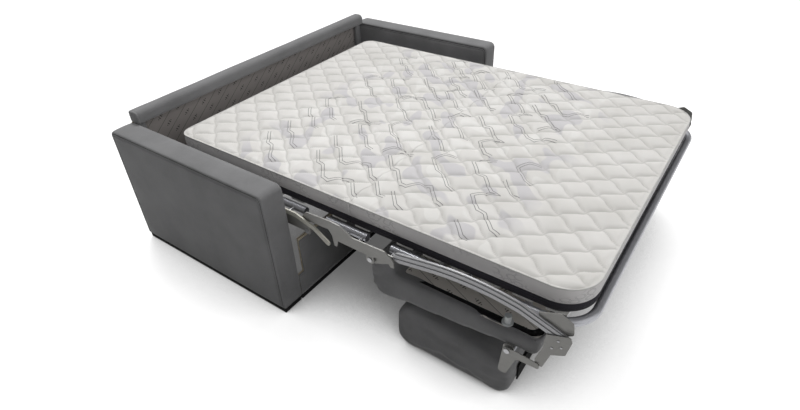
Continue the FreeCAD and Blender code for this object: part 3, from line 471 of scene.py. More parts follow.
def domes(name, spots, ways, rise, body):
    """Rivet or bolt heads in one piece: each a low dome on its spot, facing its way."""
    vertices, faces = [], []
    angles = [2 * math.pi * k / DOME_SIDES for k in range(DOME_SIDES)]
    for spot, way in zip(spots, ways):
        turn = Vector(way).to_track_quat("Z", "Y")
        rings = numbers(len(vertices), DOME_SIDES, len(DOME))
        for share, height in DOME:
            reach = HEAD_RADIUS * share
            places = [Vector((reach * math.cos(a), reach * math.sin(a), rise * height)) for a in angles]
            vertices += [Vector(spot) + turn @ place for place in places]
        faces += skin(rings, closed=True) + [rings[0][::-1]]
        faces += [[*pair, len(vertices)] for pair in zip(rings[-1], rings[-1][1:] + rings[-1][:1])]
        vertices.append(Vector(spot) + turn @ Vector((0, 0, rise)))
    settle(make_piece(name, vertices, faces, [BRIGHT]), body, "bright_fastener")


def fasteners():
    """Rivets along the side tubes and the heads of the bolts through the brackets at the foot."""
    low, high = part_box("left_foot_tube")
    radius, height = (high.z - low.z) / 2, (low.z + high.z) / 2
    lean_x, lean_z = math.cos(RIVET_LEAN), math.sin(RIVET_LEAN)
    reach = -low.x - radius + lean_x * radius
    for body, row in RIVET_ROWS.items():
        spots = [(sign * reach, y, height + lean_z * radius) for sign in (-1, 1) for y in row]
        ways = [(sign * lean_x, 0.0, lean_z) for sign in (-1, 1) for _ in row]
        domes(f"{body}_rivets", spots, ways, RIVET_RISE, body)
    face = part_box("drop_brackets")[1].x
    spots = [(sign * face, y, z) for sign in (-1, 1) for y, z in BRACKET_BOLTS]
    ways = [(sign, 0.0, 0.0) for sign in (-1, 1) for _ in BRACKET_BOLTS]
    domes("bracket_bolts", spots, ways, BOLT_RISE, "foot_section")


# Mattress: quilted top, piping, border, dark strip; in two halves that meet in the middle section
CELL = 24                       # grid steps along one quilted cell
CELL_X, CELL_Y = 0.125, 0.152
CORNERS = {"mattress_head_half": 0.055, "mattress_foot_half": 0.120}
PHASE_X, PHASE_Y = 7, 9         # where the seams cross, in grid steps
QUILT_RISE = 0.0125
SEAM_GAP = 0.097                # between neighbouring seams
# SEAM_SHADE: how wide the painted shade along each seam is
SEAM_WIDTH, SEAM_SHADE = 0.0095, 0.0038
JOG_WAVE, SLANT_WAVE = 0.0045, 0.0032
LINE_GAP, LINE_WIDTH, LINE_STEP = 0.012, 0.0024, 0.005
LINE_RISES = (0.0004, 0.0004, -0.0008, -0.0008)
STROKE_GAP = 0.068              # least distance between the middles of two strokes
EDGE_DROP, EDGE_RUN, CALM_RUN = 0.010, 0.026, 0.03
SAG = 0.0015
# The border's rings: how far out of the outline, how high, and the material of the band above it.
# The upper ones count from the top edge and the lower ones from the underside.
UPPER_RINGS = [
    (0.0012, 0.0026, 2), (0.0034, 0.0022, 2), (0.0046, 0.0, 2), (0.0040, -0.0026, 2), (0.0018, -0.0040, 2),
    (0.0024, -0.006, 1), (0.0048, -0.016, 1), (0.0060, -0.030, 1), (0.0058, -0.040, 1), (0.0042, -0.050, 1),
]
LOWER_RINGS = [
    (0.0014, 0.0365, 1), (0.0002, 0.0345, 3), (0.0018, 0.0325, 3), (0.0026, 0.018, 3), (0.0014, 0.004, 3),
    (-0.002, 0.0008, 3), (-0.010, 0.0, 3),
]


def seam_gaps(across, along):
    """Distances to the nearest seam of either slant, from places counted in cells."""
    return [np.abs(place - np.round(place)) for place in (across - along, across + along)]


def quilt(across, along):
    """Height of the quilting from 0 in the seams to 1."""
    rise = 1.0
    for gap in seam_gaps(across, along):
        rise = rise * (1 - np.exp(-gap * SEAM_GAP / SEAM_WIDTH)) * (0.8 + 0.2 * np.sin(np.pi * gap))
    return rise


def jog(place):
    """A wave with a short steep step at every whole number."""
    return np.sin(2 * np.pi * place) + 0.4 * np.sin(4 * np.pi * place)


def pattern_routes(half_x, reach):
    """Routes of the woven double lines: slanting strokes with short jogs, and bowed runs across."""
    picker = random.Random(11)
    stroke = -np.array([math.cos(STROKE_TURN), math.sin(STROKE_TURN)])
    step, bow = np.array([-0.008, -0.033]), np.array([0.024, 0.012]) * 0.7
    across = np.array([0.051, -0.081])
    taken, routes = [], []

    def free(place):
        bare = place[0] < -0.50 and place[1] < -0.62
        inside = abs(place[0]) < half_x - 0.03 and abs(place[1]) < reach and not bare
        return inside and all(np.hypot(*(place - other)) > STROKE_GAP for other in taken)

    for row, start_y in enumerate(np.arange(reach - 0.02, -reach, -0.150)):
        for start_x in np.arange(-half_x + 0.06 + 0.06 * (row % 2), half_x, 0.145):
            place = np.array([start_x + picker.uniform(-0.02, 0.02), start_y + picker.uniform(-0.02, 0.02)])
            route, marks = [place], []
            if picker.random() < 0.5:
                route = [place + across, place + across * 0.5 + bow, place]
            for number in range(picker.choice((3, 4, 5, 6))):
                if number % 3 == 2:
                    way = -1 if picker.random() < 0.7 else 1
                    turn = [place + across * way * 0.5 + bow, place + across * way]
                else:
                    end = place + stroke * picker.uniform(0.085, 0.105)
                    turn = [end, end + step]
                middle = (place + turn[-1]) / 2
                if not free(middle) or not free(turn[-1]):
                    break
                route += turn
                marks.append(middle)
                place = turn[-1]
            if marks:
                taken += marks + [route[0]]
                routes.append(np.array(route))
    return routes


def beside(route, shift):
    """A line that runs beside a route at an even distance."""
    ahead = units(np.diff(route, axis=0))
    ahead = np.vstack([ahead[:1], ahead[:-1] + ahead[1:], ahead[-1:]])
    size = np.linalg.norm(ahead, axis=1, keepdims=True)
    across = np.stack([-ahead[:, 1], ahead[:, 0]], -1) / np.maximum(size, 0.5) ** 2
    return route + across * np.where(size > 1.001, 2, 1) * shift


def sampled(line, pitch):
    """Even steps along a line of straight runs."""
    run = run_along(line)
    steps = np.linspace(0, run[-1], max(2, round(run[-1] / pitch) + 1))
    return np.stack([np.interp(steps, run, line[:, axis]) for axis in (0, 1)], -1)


def woven_lines(vertices, top_faces, centre_y, half_x, split, end):
    """Thin flat strands of the double lines on one half, half sunk into the quilted top."""
    surface = BVHTree.FromPolygons([Vector(v) for v in vertices], top_faces)
    strands, faces, half = [], [], LINE_WIDTH / 2
    for route in pattern_routes(half_x, PATTERN_REACH):
        for shift in (-LINE_GAP / 2, LINE_GAP / 2):
            line = sampled(beside(route, shift), LINE_STEP)
            runs = [[]]
            for (x, y), (ax, ay) in zip(line + [0, centre_y], units(np.gradient(line, axis=0))):
                above = [Vector((x - ay * side, y + ax * side, 1.0)) for side in (-half, half)]
                pair = [surface.ray_cast(spot, Vector((0, 0, -1)))[0] for spot in above]
                if (y - split) * np.sign(end - split) > MM and None not in pair:
                    runs[-1].append(pair)
                else:
                    runs.append([])
            for run in runs:
                if len(run) < 3:
                    continue
                rings = numbers(len(vertices) + len(strands), 4, len(run))
                for left, right in run:
                    for spot, rise in zip((left, right, right, left), LINE_RISES):
                        strands.append((spot.x, spot.y, spot.z + rise))
                faces += skin(rings, closed=True) + [rings[0][::-1], rings[-1]]
    return strands, faces


def mattress_half(name, rows_y, centre_y, half_x, half_y, low, high):
    """One half of the mattress, from the split row to its end."""
    radius = CORNERS[name]
    columns = round(2 * half_x / (CELL_X / CELL))
    x, y = np.meshgrid(np.linspace(-half_x, half_x, columns + 1), rows_y - centre_y)
    across = (np.arange(columns + 1)[None, :] + PHASE_X) / CELL + 0 * x
    along = (np.round((rows_y - rows_y[0]) / (CELL_Y / CELL))[:, None] + PHASE_Y) / CELL + 0 * x
    x, y = rounded(x, y, half_x, half_y, radius)
    flat_uv = np.stack([x, y], -1).reshape(-1, 2)
    edge = outline_distance(x, y, half_x, half_y, radius)
    calm = np.clip(edge / CALM_RUN, 0, 1)
    wave = JOG_WAVE * jog(across - along) * calm
    cross_wave = SLANT_WAVE * np.sin(2 * np.pi * (across + along)) * calm
    way = np.array([CELL_X, CELL_Y]) / math.hypot(CELL_X, CELL_Y)
    x = x + (wave - cross_wave) * way[0]
    y = y + (wave + cross_wave) * way[1]
    z = high - QUILT_RISE * (1 - quilt(across, along)) * (0.35 + 0.65 * calm)
    z = z - EDGE_DROP * np.clip(1 - edge / EDGE_RUN, 0, 1) ** 2
    z = z + SAG * mottle(x, y, 5 / 3, 3.0, 0.0) * calm

    index = np.arange(x.size).reshape(x.shape)
    vertices = np.stack([x, y + centre_y, z], -1).reshape(-1, 3).tolist()
    faces, slots, uvs = [], [], []

    def add_faces(made, slot, coordinates=None, axes=(0, 1)):
        if coordinates is None:
            coordinates = [[[vertices[i][axis] for axis in axes] for i in face] for face in made]
        faces.extend(made)
        slots.extend([slot] * len(made))
        for corners in coordinates:
            uvs.extend(corners)

    quads = grid_quads(index)
    add_faces(quads.tolist(), 0, flat_uv[quads].tolist())

    # The border: up one side from the split, round the end and back down the other side
    loop = np.concatenate([index[:, -1], index[-1, ::-1][1:], index[::-1, 0][1:]]).tolist()
    points = np.array([vertices[i][:2] for i in loop]) - [0, centre_y]
    corner = np.sign(points) * (np.array([half_x, half_y]) - radius)
    out = units(np.where(np.abs(points) > np.abs(corner), points - corner, 0))
    run = run_along(points).tolist()
    plan = [(shift, high - EDGE_DROP + rise, slot) for shift, rise, slot in UPPER_RINGS]
    plan += [(shift, low + rise, slot) for shift, rise, slot in LOWER_RINGS]
    rings, before = [loop], high
    for shift, level, slot in plan:
        ring = numbers(len(vertices), len(loop))[0]
        places = points + out * shift + [0, centre_y]
        vertices += np.column_stack([places, np.full(len(loop), level)]).tolist()
        coordinates = [[(a, before), (b, before), (b, level), (a, level)] for a, b in zip(run, run[1:])]
        add_faces(skin([rings[-1], ring]), slot, coordinates)
        rings.append(ring)
        before = level
    under = skin([ring, ring[::-1]])[:(len(loop) - 1) // 2]
    add_faces([list(dict.fromkeys(face)) for face in under], 3)
    cap = index[0].tolist() + [ring[0] for ring in rings[1:]] + [ring[-1] for ring in rings[:0:-1]]
    add_faces([cap], 3, axes=(0, 2))

    lines, line_faces = woven_lines(vertices, quads.tolist(), centre_y, half_x, rows_y[0], rows_y[-1])
    vertices += lines
    add_faces(line_faces, 4)
    piece = make_piece(name, vertices, faces, [KNIT, BORDER, PIPING, STRIP, WEFT], slots, uvs)
    # Painted shade along the quilting seams, fading out towards the edge, for the knit material
    shadow = np.zeros(len(vertices), np.float32)
    on_seam = bell(np.minimum(*seam_gaps(across, along)) * SEAM_GAP, 0, SEAM_SHADE, 1)
    shadow[:x.size] = (on_seam * np.clip(edge / 0.012, 0, 1)).ravel()
    piece.data.attributes.new("painted_seam_shade", "FLOAT", "POINT").data.foreach_set("value", shadow)
    return piece


def mattress():
    """Both halves, each from the middle of the middle section to its own end of the mattress."""
    head, middle, foot = [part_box(f"mattress_{part}") for part in PARTS]
    half_x, low, high = head[1].x, head[0].z, head[1].z
    split = (middle[0].y + middle[1].y) / 2
    centre_y, half_y = (head[1].y + foot[0].y) / 2, (head[1].y - foot[0].y) / 2
    halves = {
        "head": (head[1].y, ["mattress_head", "mattress_fold_head", "mattress_middle"]),
        "foot": (foot[0].y, ["mattress_fold_foot", "mattress_foot"]),
    }
    for half, (end, nodes) in halves.items():
        step = math.copysign(CELL_Y / CELL, end - split)
        rows = split + step * np.arange(int((end - split) / step) + 1)
        rows[-1] = end
        piece = mattress_half(f"mattress_{half}_half", rows, centre_y, half_x, half_y, low, high)
        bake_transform(piece)
        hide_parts(*nodes)


# Arms: two side panels sewn to one band that runs up the front, over the top and down the rear
ARM_CORNER = 0.030
ARM_ROUND = 0.008
ARM_SEAM = ARM_ROUND + 0.0030
ARM_STITCH = ARM_SEAM + 0.009
ARM_CROWN = 0.0035
ARM_STEP = 0.022
ARM_STRIPS = 12
ARM_PUFF, ARM_UNEVEN = 0.0022, 0.0009
FINE = [
    0, 0.0008, 0.002, 0.0035, 0.0055, 0.008, 0.0095, 0.011, 0.0125, 0.015, 0.0175, 0.019, 0.0205, 0.022,
    0.030,
]
FINE_FOOT = [0, 0.0012, 0.003, 0.006]


def arm(name, sign):
    low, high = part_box(f"{name}_arm_cover")
    half_y, centre_y, height = (high.y - low.y) / 2, (high.y + low.y) / 2, high.z - low.z
    us = edge_steps(2 * half_y, FINE, ARM_STEP) - half_y
    top = [height - f for f in reversed(FINE)]
    count = round(top[0] / ARM_STEP)
    vs = np.array(FINE_FOOT + [top[0] * k / count for k in range(1, count)] + top)
    y, z = rounded(*np.meshgrid(us, vs), half_y, height, ARM_CORNER)
    edge = outline_distance(y, z, half_y, height, ARM_CORNER)
    inset = rolled(edge, ARM_ROUND) + 0.004 * np.clip(1 - z / 0.004, 0, 1) ** 2
    inset += bell(edge, ARM_SEAM, 0.0018, 0.0034) + bell(edge, ARM_STITCH, 0.0015, 0.0018)
    lift = np.clip((edge - 0.012) / 0.09, 0, 1) ** 0.6 * np.clip(z / 0.05, 0, 1)
    panels = []
    for side in (1, -1):
        outwards = side * sign
        soft = 0.0011 * mottle(y, z, side, 5.0, sign * 3.0) + 0.0005 * mottle(y, z, side, 17.0, 1.0)
        x = (high.x if outwards > 0 else low.x) + outwards * (lift * (ARM_CROWN + soft) - inset)
        panels.append(np.stack([x, y + centre_y, z + low.z], -1).reshape(-1, 3))

    index = np.arange(y.size).reshape(y.shape)
    quads = grid_quads(index)
    middle, level = edge.ravel()[quads].mean(axis=1), z.ravel()[quads].mean(axis=1)
    # Faces along the seam and stitch grooves take the darker suede, as painted shade in the grooves
    dark = (np.abs(middle - ARM_SEAM) < 0.0016) | (np.abs(middle - ARM_STITCH) < 0.0012)
    dark &= level > FINE_FOOT[-1]

    # The band: its strips puff out between the panels
    loop = np.concatenate([index[:, 0], index[-1, 1:], index[::-1, -1][1:]]).tolist()
    first, last = [panel[loop] for panel in panels]
    py, pz = y.ravel()[loop], z.ravel()[loop]
    corner_y, corner_z = half_y - ARM_CORNER, height - ARM_CORNER
    past = np.where(np.abs(py) > corner_y, py - np.copysign(corner_y, py), 0)
    ways = units(np.stack([past, np.maximum(pz - corner_z, 0)], -1))
    firm = np.minimum(1.0, pz / 0.03)
    rows = [loop] + numbers(2 * y.size, len(loop), ARM_STRIPS - 1) + [[i + y.size for i in loop]]
    strips = []
    for k in range(1, ARM_STRIPS):
        share = k / ARM_STRIPS
        x, world_y, world_z = (first * (1 - share) + last * share).T
        puff = ARM_PUFF * math.sin(math.pi * share) ** 0.5
        puff += ARM_UNEVEN * mottle(x * 2, py, pz, 8.0, 7.0 + sign)
        # The cloth of the front face is folded over at its inner lower corner
        line = pz - (0.055 + (np.abs(x) - min(abs(low.x), abs(high.x))) * 5.2)
        fold = bell(line, 0.012, 0.016, 0.0018) - 0.0016 / (1 + np.exp(line / 0.008))
        puff = puff * firm + np.where(py < -corner_y, fold, 0)
        strips.append(np.stack([x, world_y + ways[:, 0] * puff, world_z + ways[:, 1] * puff], -1))

    faces = quads.tolist() + (quads + y.size).tolist() + skin(rows)
    floor = index[0].tolist()
    below = [i + y.size for i in floor]
    faces += skin([floor[1:-1], below[1:-1]])
    faces.append([floor[1], below[1]] + [row[0] for row in reversed(rows)])
    faces.append([floor[-2]] + [row[-1] for row in rows] + [below[-2]])
    slots = np.zeros(len(faces), np.int32)
    slots[:2 * len(dark)] = np.tile(dark, 2)
    piece = make_piece(f"{name}_arm", np.concatenate(panels + strips), faces, [GREY, PAINTED_SEAM_SHADOW], slots)
    settle(piece, "sofa", "grey_upholstery", f"{name}_arm_cover")


# Back: padded top rail with sewn end caps, side stiles, linings
RAIL_FINE = [0, 0.0006, 0.0018, 0.0035, 0.006, 0.008, 0.0095, 0.011, 0.013, 0.02]
RAIL_ROUND = 0.006
STILE_ROUND = 0.010
CAP_BULGE, CAP_SHARES = 0.0025, (0.8, 0.5, 0.2)


def back_rail():
    low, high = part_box("back_rail_pad")
    width, depth, height = spans(low, high)
    outline = []
    corners = [(0, 0, 0.012), (depth, 0, 0.012), (depth, height, 0.014), (0, height, 0.026)]
    for number, (cy, cz, radius) in enumerate(corners):
        middle_y = cy + (radius if cy == 0 else -radius)
        middle_z = cz + (radius if cz == 0 else -radius)
        for k in range(9):
            angle = math.radians(180 + 90 * number + 90 * k / 8)
            outline.append((middle_y + radius * math.cos(angle), middle_z + radius * math.sin(angle)))
    centre = np.array([depth / 2, height / 2])
    outline = np.array(outline)
    spokes = outline - centre
    rows = []
    for station in edge_steps(width, RAIL_FINE, 0.03):
        end = min(station, width - station)
        shrink = rolled(end, RAIL_ROUND) + bell(end, 0.0095, 0.0014, 0.002)
        puff = 0.0012 * mottle(station, outline[:, 0], outline[:, 1], 6.0, 2.0) * min(1.0, end / 0.03)
        share = 1 - (shrink - puff) / np.linalg.norm(spokes, axis=1)
        rows.append((station, spokes * share[:, None]))
    (start, first), (stop, last) = rows[0], rows[-1]
    rows = [(start - CAP_BULGE * (1 - share), first * share) for share in CAP_SHARES[::-1]] + rows
    rows += [(stop + CAP_BULGE * (1 - share), last * share) for share in CAP_SHARES]
    centre_y, centre_z = low.y + centre[0], low.z + centre[1]
    vertices = [(low.x + x, centre_y + py, centre_z + pz) for x, row in rows for py, pz in row]
    rings = numbers(0, len(outline), len(rows))
    faces = skin(rings, closed=True) + [rings[0], rings[-1]]
    piece = make_piece("back_rail", vertices, faces, [GREY])
    settle(piece, "sofa", "grey_upholstery", "back_rail_pad")


def slab(name, low, us, vs, depths, material, keep=None, level=False):
    """A thin closed piece over an upright or level grid. depths gives where its front and its back lie."""
    def place(u, v, depth):
        return (low.x + u, low.y + v, depth) if level else (low.x + u, depth, low.z + v)

    spots = [(u, v, depths(u, v)) for v in vs.tolist() for u in us.tolist()]
    vertices = [place(u, v, depth[side]) for side in (0, 1) for u, v, depth in spots]
    count, columns = len(spots), len(us)
    faces, edges = [], {}
    for r in range(len(vs) - 1):
        for c in range(columns - 1):
            if keep and not keep((us[c] + us[c + 1]) / 2, (vs[r] + vs[r + 1]) / 2):
                continue
            a = r * columns + c
            square = [a, a + 1, a + columns + 1, a + columns]
            faces += [square, [i + count for i in reversed(square)]]
            for pair in zip(square, square[1:] + square[:1]):
                key = tuple(sorted(pair))
                edges[key] = None if key in edges else pair
    faces += [[b, a, a + count, b + count] for a, b in filter(None, edges.values())]
    used = sorted({i for face in faces for i in face})
    new = {old: k for k, old in enumerate(used)}
    faces = [[new[i] for i in face] for face in faces]
    return make_piece(name, [vertices[i] for i in used], faces, [material])


def back_stiles():
    """The padded strips on both sides of the inner lining, with rounded long edges."""
    low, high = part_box("back_stiles")
    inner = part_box("back_lining")[1].x
    width = high.x - inner

    def depths(u, v):
        inset = rolled(min(u, width - u), STILE_ROUND)
        return low.y + inset + 0.0008 * mottle(u, v, 0.0, 9.0, 4.0), high.y

    for name, start in {"left": low.x, "right": inner}.items():
        us = edge_steps(width, [0, 0.001, 0.003, 0.006, 0.010], 0.012)
        vs = edge_steps(high.z - low.z, [0, 0.002, 0.006], 0.02)
        piece = slab(f"{name}_back_stile", Vector((start, low.y, low.z)), us, vs, depths, GREY)
        settle(piece, "sofa", "grey_upholstery", "back_stiles")


def hold(u, v, width, height, margin, margin_v=None):
    """0 on the held edges of a sheet and 1 inside it, with a run of the margin between."""
    return min(1.0, min(u, width - u) / margin, min(v, height - v) / (margin_v or margin))


def stretched(node, name, slot, material, margin, depths):
    """A cloth over the frame of the back. depths also takes how free of its held edges a place is."""
    low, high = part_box(node)
    width, _, height = spans(low, high)

    def over(u, v):
        return depths(u, v, hold(u, v, width, height, margin))

    piece = slab(name, low, np.linspace(0, width, 90), np.linspace(0, height, 36), over, material)
    settle(piece, "sofa", slot, node)


def back_sheets():
    """The lining inside the back and the cloth on its rear."""
    inside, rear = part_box("back_lining")[0].y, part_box("back_rear_cover")[1].y

    def lining(u, v, free):
        front = inside + (0.0016 * mottle(u, v * 0.4, 0.0, 7.0, 9.0) - 0.0006) * free
        return front, front + 0.0014

    def cover(u, v, free):
        back = rear - 0.0006 + 0.0011 * mottle(u, v * 0.5, 0.0, 6.0, 12.0) * free
        return back - 0.0018, back

    stretched("back_lining", "back_lining_cloth", "dark_lining", DARK_LINING, 0.04, lining)
    stretched("back_rear_cover", "back_rear_cloth", "grey_upholstery", GREY, 0.05, cover)


NOTCH_WIDTH, NOTCH_HEIGHT = 0.033, 0.137  # the board's steps for the frame at both ends


def front_panel():
    """The cloth on the front rail, notched at both ends like the board behind it."""
    low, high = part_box("front_rail_cover")
    width, _, height = spans(low, high)
    notch, shoulder = NOTCH_WIDTH, NOTCH_HEIGHT - low.z
    us = edge_steps(width, [0, 0.002, 0.006, 0.012], 0.02)
    us = np.unique(np.round([*us, notch, width - notch, notch + 0.004, width - notch - 0.004], 5))
    vs = np.unique(np.round([*np.linspace(0, height, 18), shoulder, height - 0.002, height - 0.006], 5))

    def depths(u, v):
        fold = bell(u - 0.05 * v, 0.062, 0.006, 0.0022) * min(1.0, v / 0.03)
        wave = 0.0011 * mottle(u, v, 0.0, 8.0, 15.0)
        roll = 0.003 * max(0.0, 1 - (height - v) / 0.006) ** 2
        return low.y + 0.0012 + roll - (wave + fold) * hold(u, v, width, height, 0.05, 0.03), high.y

    def keep(u, v):
        return v < shoulder or notch < u < width - notch

    piece = slab("front_panel_cloth", low, us, vs, depths, GREY, keep)
    settle(piece, "sofa", "grey_upholstery", "front_rail_cover")


# Seat and back cushions
SKIN_CELL = 0.012
GROWTH = 0.006                  # the most that the stuffing moves the cloth
STUFFING = {
    "quality": 5, "mass": 0.3, "tension_stiffness": 12, "compression_stiffness": 12, "bending_stiffness": 1.2,
    "use_pressure": True, "uniform_pressure_force": 1.5,
}
FRAMES = 20


def apply_all(piece):
    """Applies the piece's modifiers to its mesh."""
    done = bpy.data.meshes.new_from_object(piece.evaluated_get(bpy.context.evaluated_depsgraph_get()))
    piece.modifiers.clear()
    piece.data = done


def vertex_places(mesh):
    places = np.zeros(len(mesh.vertices) * 3)
    mesh.vertices.foreach_get("co", places)
    return places.reshape(-1, 3)


def put_places(mesh, places):
    mesh.vertices.foreach_set("co", np.ascontiguousarray(places, dtype=np.float32).ravel())
    mesh.update()


def smoothed(work):
    axes = {"use_axis_x": True, "use_axis_y": True, "use_axis_z": True}
    for _ in range(6):
        bmesh.ops.smooth_vert(work, verts=work.verts, factor=0.5, **axes)


def press_out(piece):
    """Fills a cushion: an even skin over its solid, blown up a little like stuffed cloth."""
    skin_cells = piece.modifiers.new("skin", "REMESH")
    put(skin_cells, mode="VOXEL", voxel_size=SKIN_CELL, use_smooth_shade=True)
    apply_all(piece)
    edit(piece.data, smoothed)
    rest = vertex_places(piece.data)
    cloth = piece.modifiers.new("cloth", "CLOTH")
    put(cloth.settings, **STUFFING)
    cloth.settings.effector_weights.gravity = 0
    cloth.collision_settings.use_collision = False
    cloth.point_cache.frame_start, cloth.point_cache.frame_end = 1, FRAMES
    for number in range(1, FRAMES + 1):
        bpy.context.scene.frame_set(number)
    apply_all(piece)
    bpy.context.scene.frame_set(1)
    moved = vertex_places(piece.data) - rest
    length = np.linalg.norm(moved, axis=1, keepdims=True)
    put_places(piece.data, rest + moved * np.minimum(1.0, GROWTH / np.maximum(length, 1e-9)))


def cushion(node, body, form):
    """A stuffed cover over a cushion's solid, with the seams and folds that form presses into it."""
    name = f"{node}_cover"
    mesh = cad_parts[node].data.copy()
    mesh.name = name
    edit(mesh, lambda work: bmesh.ops.remove_doubles(work, verts=work.verts, dist=1e-5))
    piece = placed(name, mesh)
    press_out(piece)
    low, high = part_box(node)
    places = vertex_places(piece.data)
    form(places, low, high, (high.x - low.x) / 2 - np.abs(places[:, 0]))
    put_places(piece.data, places)
    piece.data.materials.clear()
    piece.data.materials.append(GREY)
    piece.data.shade_smooth()
    put(piece.modifiers.new("finer", "SUBSURF"), levels=1, render_levels=1)
    apply_all(piece)
    piece.data.shade_smooth()
    settle(piece, body, "grey_upholstery", node)


def seat_form(places, low, high, side):
    x, y, z = places.T
    near, outward = high.y - y, np.sign(x)
    # Side seams: the panel on each side is sewn on along a line that follows the profile
    places[:, 2] += bell(side, 0.010, 0.0035, 0.0022) * np.sign(0.28 - z) * 0.6
    # Gathers in the roll at the inner end, which run round it from its underside
    gather = np.clip(1 - side / 0.10, 0, 1) * np.clip(1 - near / 0.095, 0, 1)
    ripple = np.sin(z * 210 + 2.1 * np.sin(y * 60)) * 0.5 + 0.5 * np.sin(z * 120 + y * 90)
    places[:, 0] += outward * ripple * gather * 0.0034
    places[:, 1] += ripple * gather * 0.0005
    wide = mottle(*places.T, 5.0, 21.0)
    places[:, 0] += outward * 0.0016 * wide * np.clip(1 - side / 0.03, 0, 1)
    places[:, 2] -= 0.0025 * np.abs(wide) * (z < 0.25)


def back_form(places, low, high, side):
    x, y, z = places.T
    pressed = np.sign(x) * np.clip(1 - side / 0.03, 0, 1)
    # A fold line across each side panel, from the upper inner corner down to the lower outer end
    line = z - (0.155 - (high.y - y) * 0.05 + 0.012 * np.sin(y * 9))
    places[:, 0] += pressed * (bell(line, 0.006, 0.006, 0.0030) - bell(line, -0.004, 0.004, 0.0026))
    # Two shallow creases fan out from the end near the crank
    for height, slope in ((0.098, 0.10), (0.080, -0.06)):
        crease = z - (height + (y - low.y) * slope)
        places[:, 0] -= pressed * np.clip(1 - (y - low.y) / 0.20, 0, 1) * bell(crease, 0, 0.004, 0.0040)
    places[:, 0] += 0.0018 * mottle(*places.T, 5.0, 41.0) * pressed
    # The underside lies flat on the floor
    flat = np.where(z < 0.012, np.minimum(z, np.maximum(0.0004, z * 0.5)), z)
    places[:, 2] = np.maximum(flat, 0.0003)


SLOT_INSET, SLOT_START, SLOT_END, SLOT_BEND = 0.019, 0.47, 0.018, 0.042
SLOT_WIDTH, SLOT_RISE, SLOT_DEPTH = 0.026, 0.0010, 0.0012


def seat_lining():
    """The lined board in the underside of the seat, with black strips along the side borders: painted shade
    in the gaps between lining and border.
    """
    low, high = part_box("seat_board")
    width, length, _ = spans(low, high)

    def depths(u, v):
        wave = 0.0012 * mottle(u, v, 0.0, 7.0, 31.0) * hold(u, v, width, length, 0.03)
        return high.z - 0.001 + wave, low.z

    us, vs = np.linspace(0, width, 100), np.linspace(0, length, 44)
    piece = slab("seat_lining_board", low, us, vs, depths, LIGHT_LINING, level=True)
    settle(piece, "foot_section", "light_lining", "seat_board")
    for name, sign in SIDES.items():
        x, end = sign * (high.x - SLOT_INSET), low.y + SLOT_END
        path = [(x, low.y + SLOT_START - k * (SLOT_START - SLOT_END - SLOT_BEND) / 24) for k in range(25)]
        for k in range(1, 9):
            angle = math.pi / 2 * k / 8
            bend_x = x - sign * SLOT_BEND * (1 - math.cos(angle))
            path.append((bend_x, end + SLOT_BEND * (1 - math.sin(angle))))
        path += [(x - sign * (SLOT_BEND + 0.01 * k), end) for k in range(1, 4)]
        # Each black strip is painted shade in the gap between the lining and the border
        settle(strap(f"{name}_seat_gap_shade", path, high.z + SLOT_RISE), "foot_section", "black_plinth")


def strap(name, path, height):
    """A flat black strip along a level path, with rounded ends."""
    points = np.array(path)
    ahead = units(np.gradient(points, axis=0))
    across = np.stack([-ahead[:, 1], ahead[:, 0]], -1)
    run, half = run_along(points), SLOT_WIDTH / 2
    past_end = np.maximum(0.0, 1 - np.minimum(run, run[-1] - run) / half)
    reach = (half * np.sqrt(np.maximum(0.02, 1 - past_end ** 2)))[:, None]
    edges = [points - across * reach, points, points + across * reach]
    bottom = height - SLOT_DEPTH
    levels = [height, height + 0.4 * SLOT_DEPTH, height, bottom, bottom, bottom]
    rows = [np.column_stack([line, np.full(len(line), z)]) for line, z in zip(edges + edges[::-1], levels)]
    rings = np.arange(6 * len(points)).reshape(6, -1).T.tolist()
    faces = skin(rings, closed=True) + [rings[0], rings[-1]]
    return make_piece(name, np.concatenate(rows), faces, [BLACK_FELT_AND_SHADE])


# Stage, light and camera
FLOOR_REACH, FLOOR_LEVEL = 30.0, -0.0005
FLOOR_PLAIN, FLOOR_SEEN = (0.52, 0.52, 0.52, 1), (0.30, 0.30, 0.30, 1)
ROOM_LIGHT = 0.21


def stage():
    """A white floor that keeps the shadow. Only the eye and reflections see it at full white."""
    mesh = bpy.data.meshes.new("floor")
    corners = [(x * FLOOR_REACH, y * FLOOR_REACH, 0) for x, y in ((-1, -1), (1, -1), (1, 1), (-1, 1))]
    mesh.from_pydata(corners, [], [(0, 1, 2, 3)])
    floor = placed("floor", mesh)
    floor.location.z = FLOOR_LEVEL
    material = bpy.data.materials.new("floor_white")
    material.use_nodes = True
    nodes = Nodes(material.node_tree)
    nodes.tree.nodes.remove(nodes.tree.nodes["Principled BSDF"])
    path = nodes.add("LightPath").outputs
    gloss = nodes.math("MAXIMUM", path["Is Glossy Ray"], path["Is Transmission Ray"])
    seen = nodes.math("MAXIMUM", path["Is Camera Ray"], gloss)
    plain = nodes.add("BsdfDiffuse", {"Color": FLOOR_PLAIN}).outputs[0]
    white = nodes.add("BsdfDiffuse", {"Color": FLOOR_SEEN}).outputs[0]
    # The glow fades out where something stands close above the floor
    open_sky = nodes.add("AmbientOcclusion", {"Distance": 0.64}, samples=12).outputs["AO"]
    glow = nodes.add("Emission", {"Strength": nodes.spread(open_sky, 0.30, 0.68, 0.10, 0.94)}).outputs[0]
    bright = nodes.add("AddShader", {0: white, 1: glow}).outputs[0]
    choice = nodes.add("MixShader", {0: seen, 1: plain, 2: bright}).outputs[0]
    nodes.feed(nodes.tree.nodes["Material Output"].inputs["Surface"], choice)
    mesh.materials.append(material)


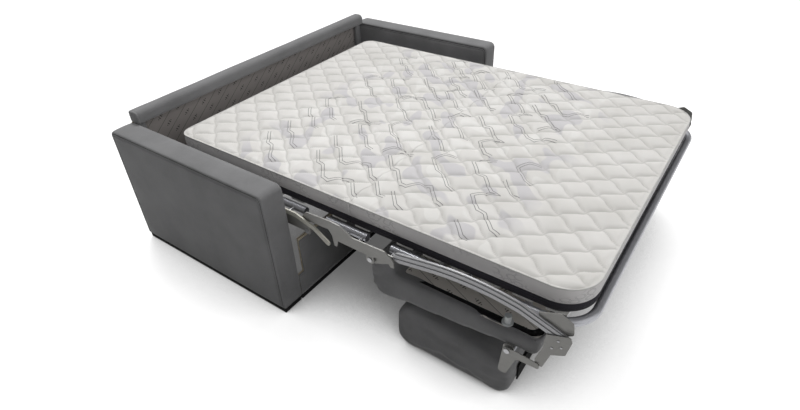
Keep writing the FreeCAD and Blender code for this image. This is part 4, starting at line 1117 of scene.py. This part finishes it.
def lamp(name, kind, source, **settings):
    """A lamp that shines from a side."""
    holder = placed(name, put(bpy.data.lights.new(name, kind), **settings))
    holder.rotation_mode = "QUATERNION"
    holder.rotation_quaternion = Vector(source).to_track_quat("Z", "Y")
    return holder


def lights():
    world = bpy.data.worlds.new("studio")
    bpy.context.scene.world = world
    world.use_nodes = True
    nodes = Nodes(world.node_tree)
    background = nodes.tree.nodes["Background"]
    background.inputs["Color"].default_value = (1, 1, 1, 1)
    seen = nodes.add("LightPath").outputs["Is Camera Ray"]
    nodes.feed(background.inputs["Strength"], nodes.spread(seen, 0.0, 1.0, ROOM_LIGHT, 1.0))
    lamp("key", "SUN", (0.40, 0.42, 0.90), energy=2.65, angle=math.radians(26))
    lamp("front", "SUN", (-0.03, -1.0, 0.5), energy=0.85, angle=math.radians(60))
    # A soft card above the bed, which lifts the back and the far arm as the white room does
    card = lamp("card", "AREA", (-0.85, -0.75, 0.45), size=1.1, energy=3.2)
    put(card, location=(-0.35, -0.20, 1.75), visible_camera=False)


def camera():
    """The photograph's view, solved from its straight edges."""
    focal, centre = 535.4855, (399.650, 204.392)
    width, height, sensor = 800, 410, 36.0
    place = (-1.87824, -1.21672, 1.69352)
    yaw, pitch, roll = 0.631483, 0.634063, -0.0374093
    eye = placed("camera", bpy.data.cameras.new("camera"))
    put(eye.data, sensor_width=sensor, lens=focal / width * sensor)
    put(eye.data, shift_x=(width / 2 - centre[0]) / width, shift_y=(centre[1] - height / 2) / width)
    level = Matrix.Rotation(yaw - math.pi / 2, 4, "Z") @ Matrix.Rotation(math.pi / 2 - pitch, 4, "X")
    eye.matrix_world = Matrix.Translation(place) @ level @ Matrix.Rotation(roll, 4, "Z")
    bpy.context.scene.camera = eye


bpy.context.scene.view_settings.view_transform = "Standard"
camera()
stage()
lights()
finish_nodes()
fasteners()
mattress()
for side_name, side_sign in SIDES.items():
    arm(side_name, side_sign)
back_rail()
back_stiles()
back_sheets()
front_panel()
cushion("seat_cushion", "foot_section", seat_form)
seat_lining()
cushion("back_cushion", "back_unit", back_form)
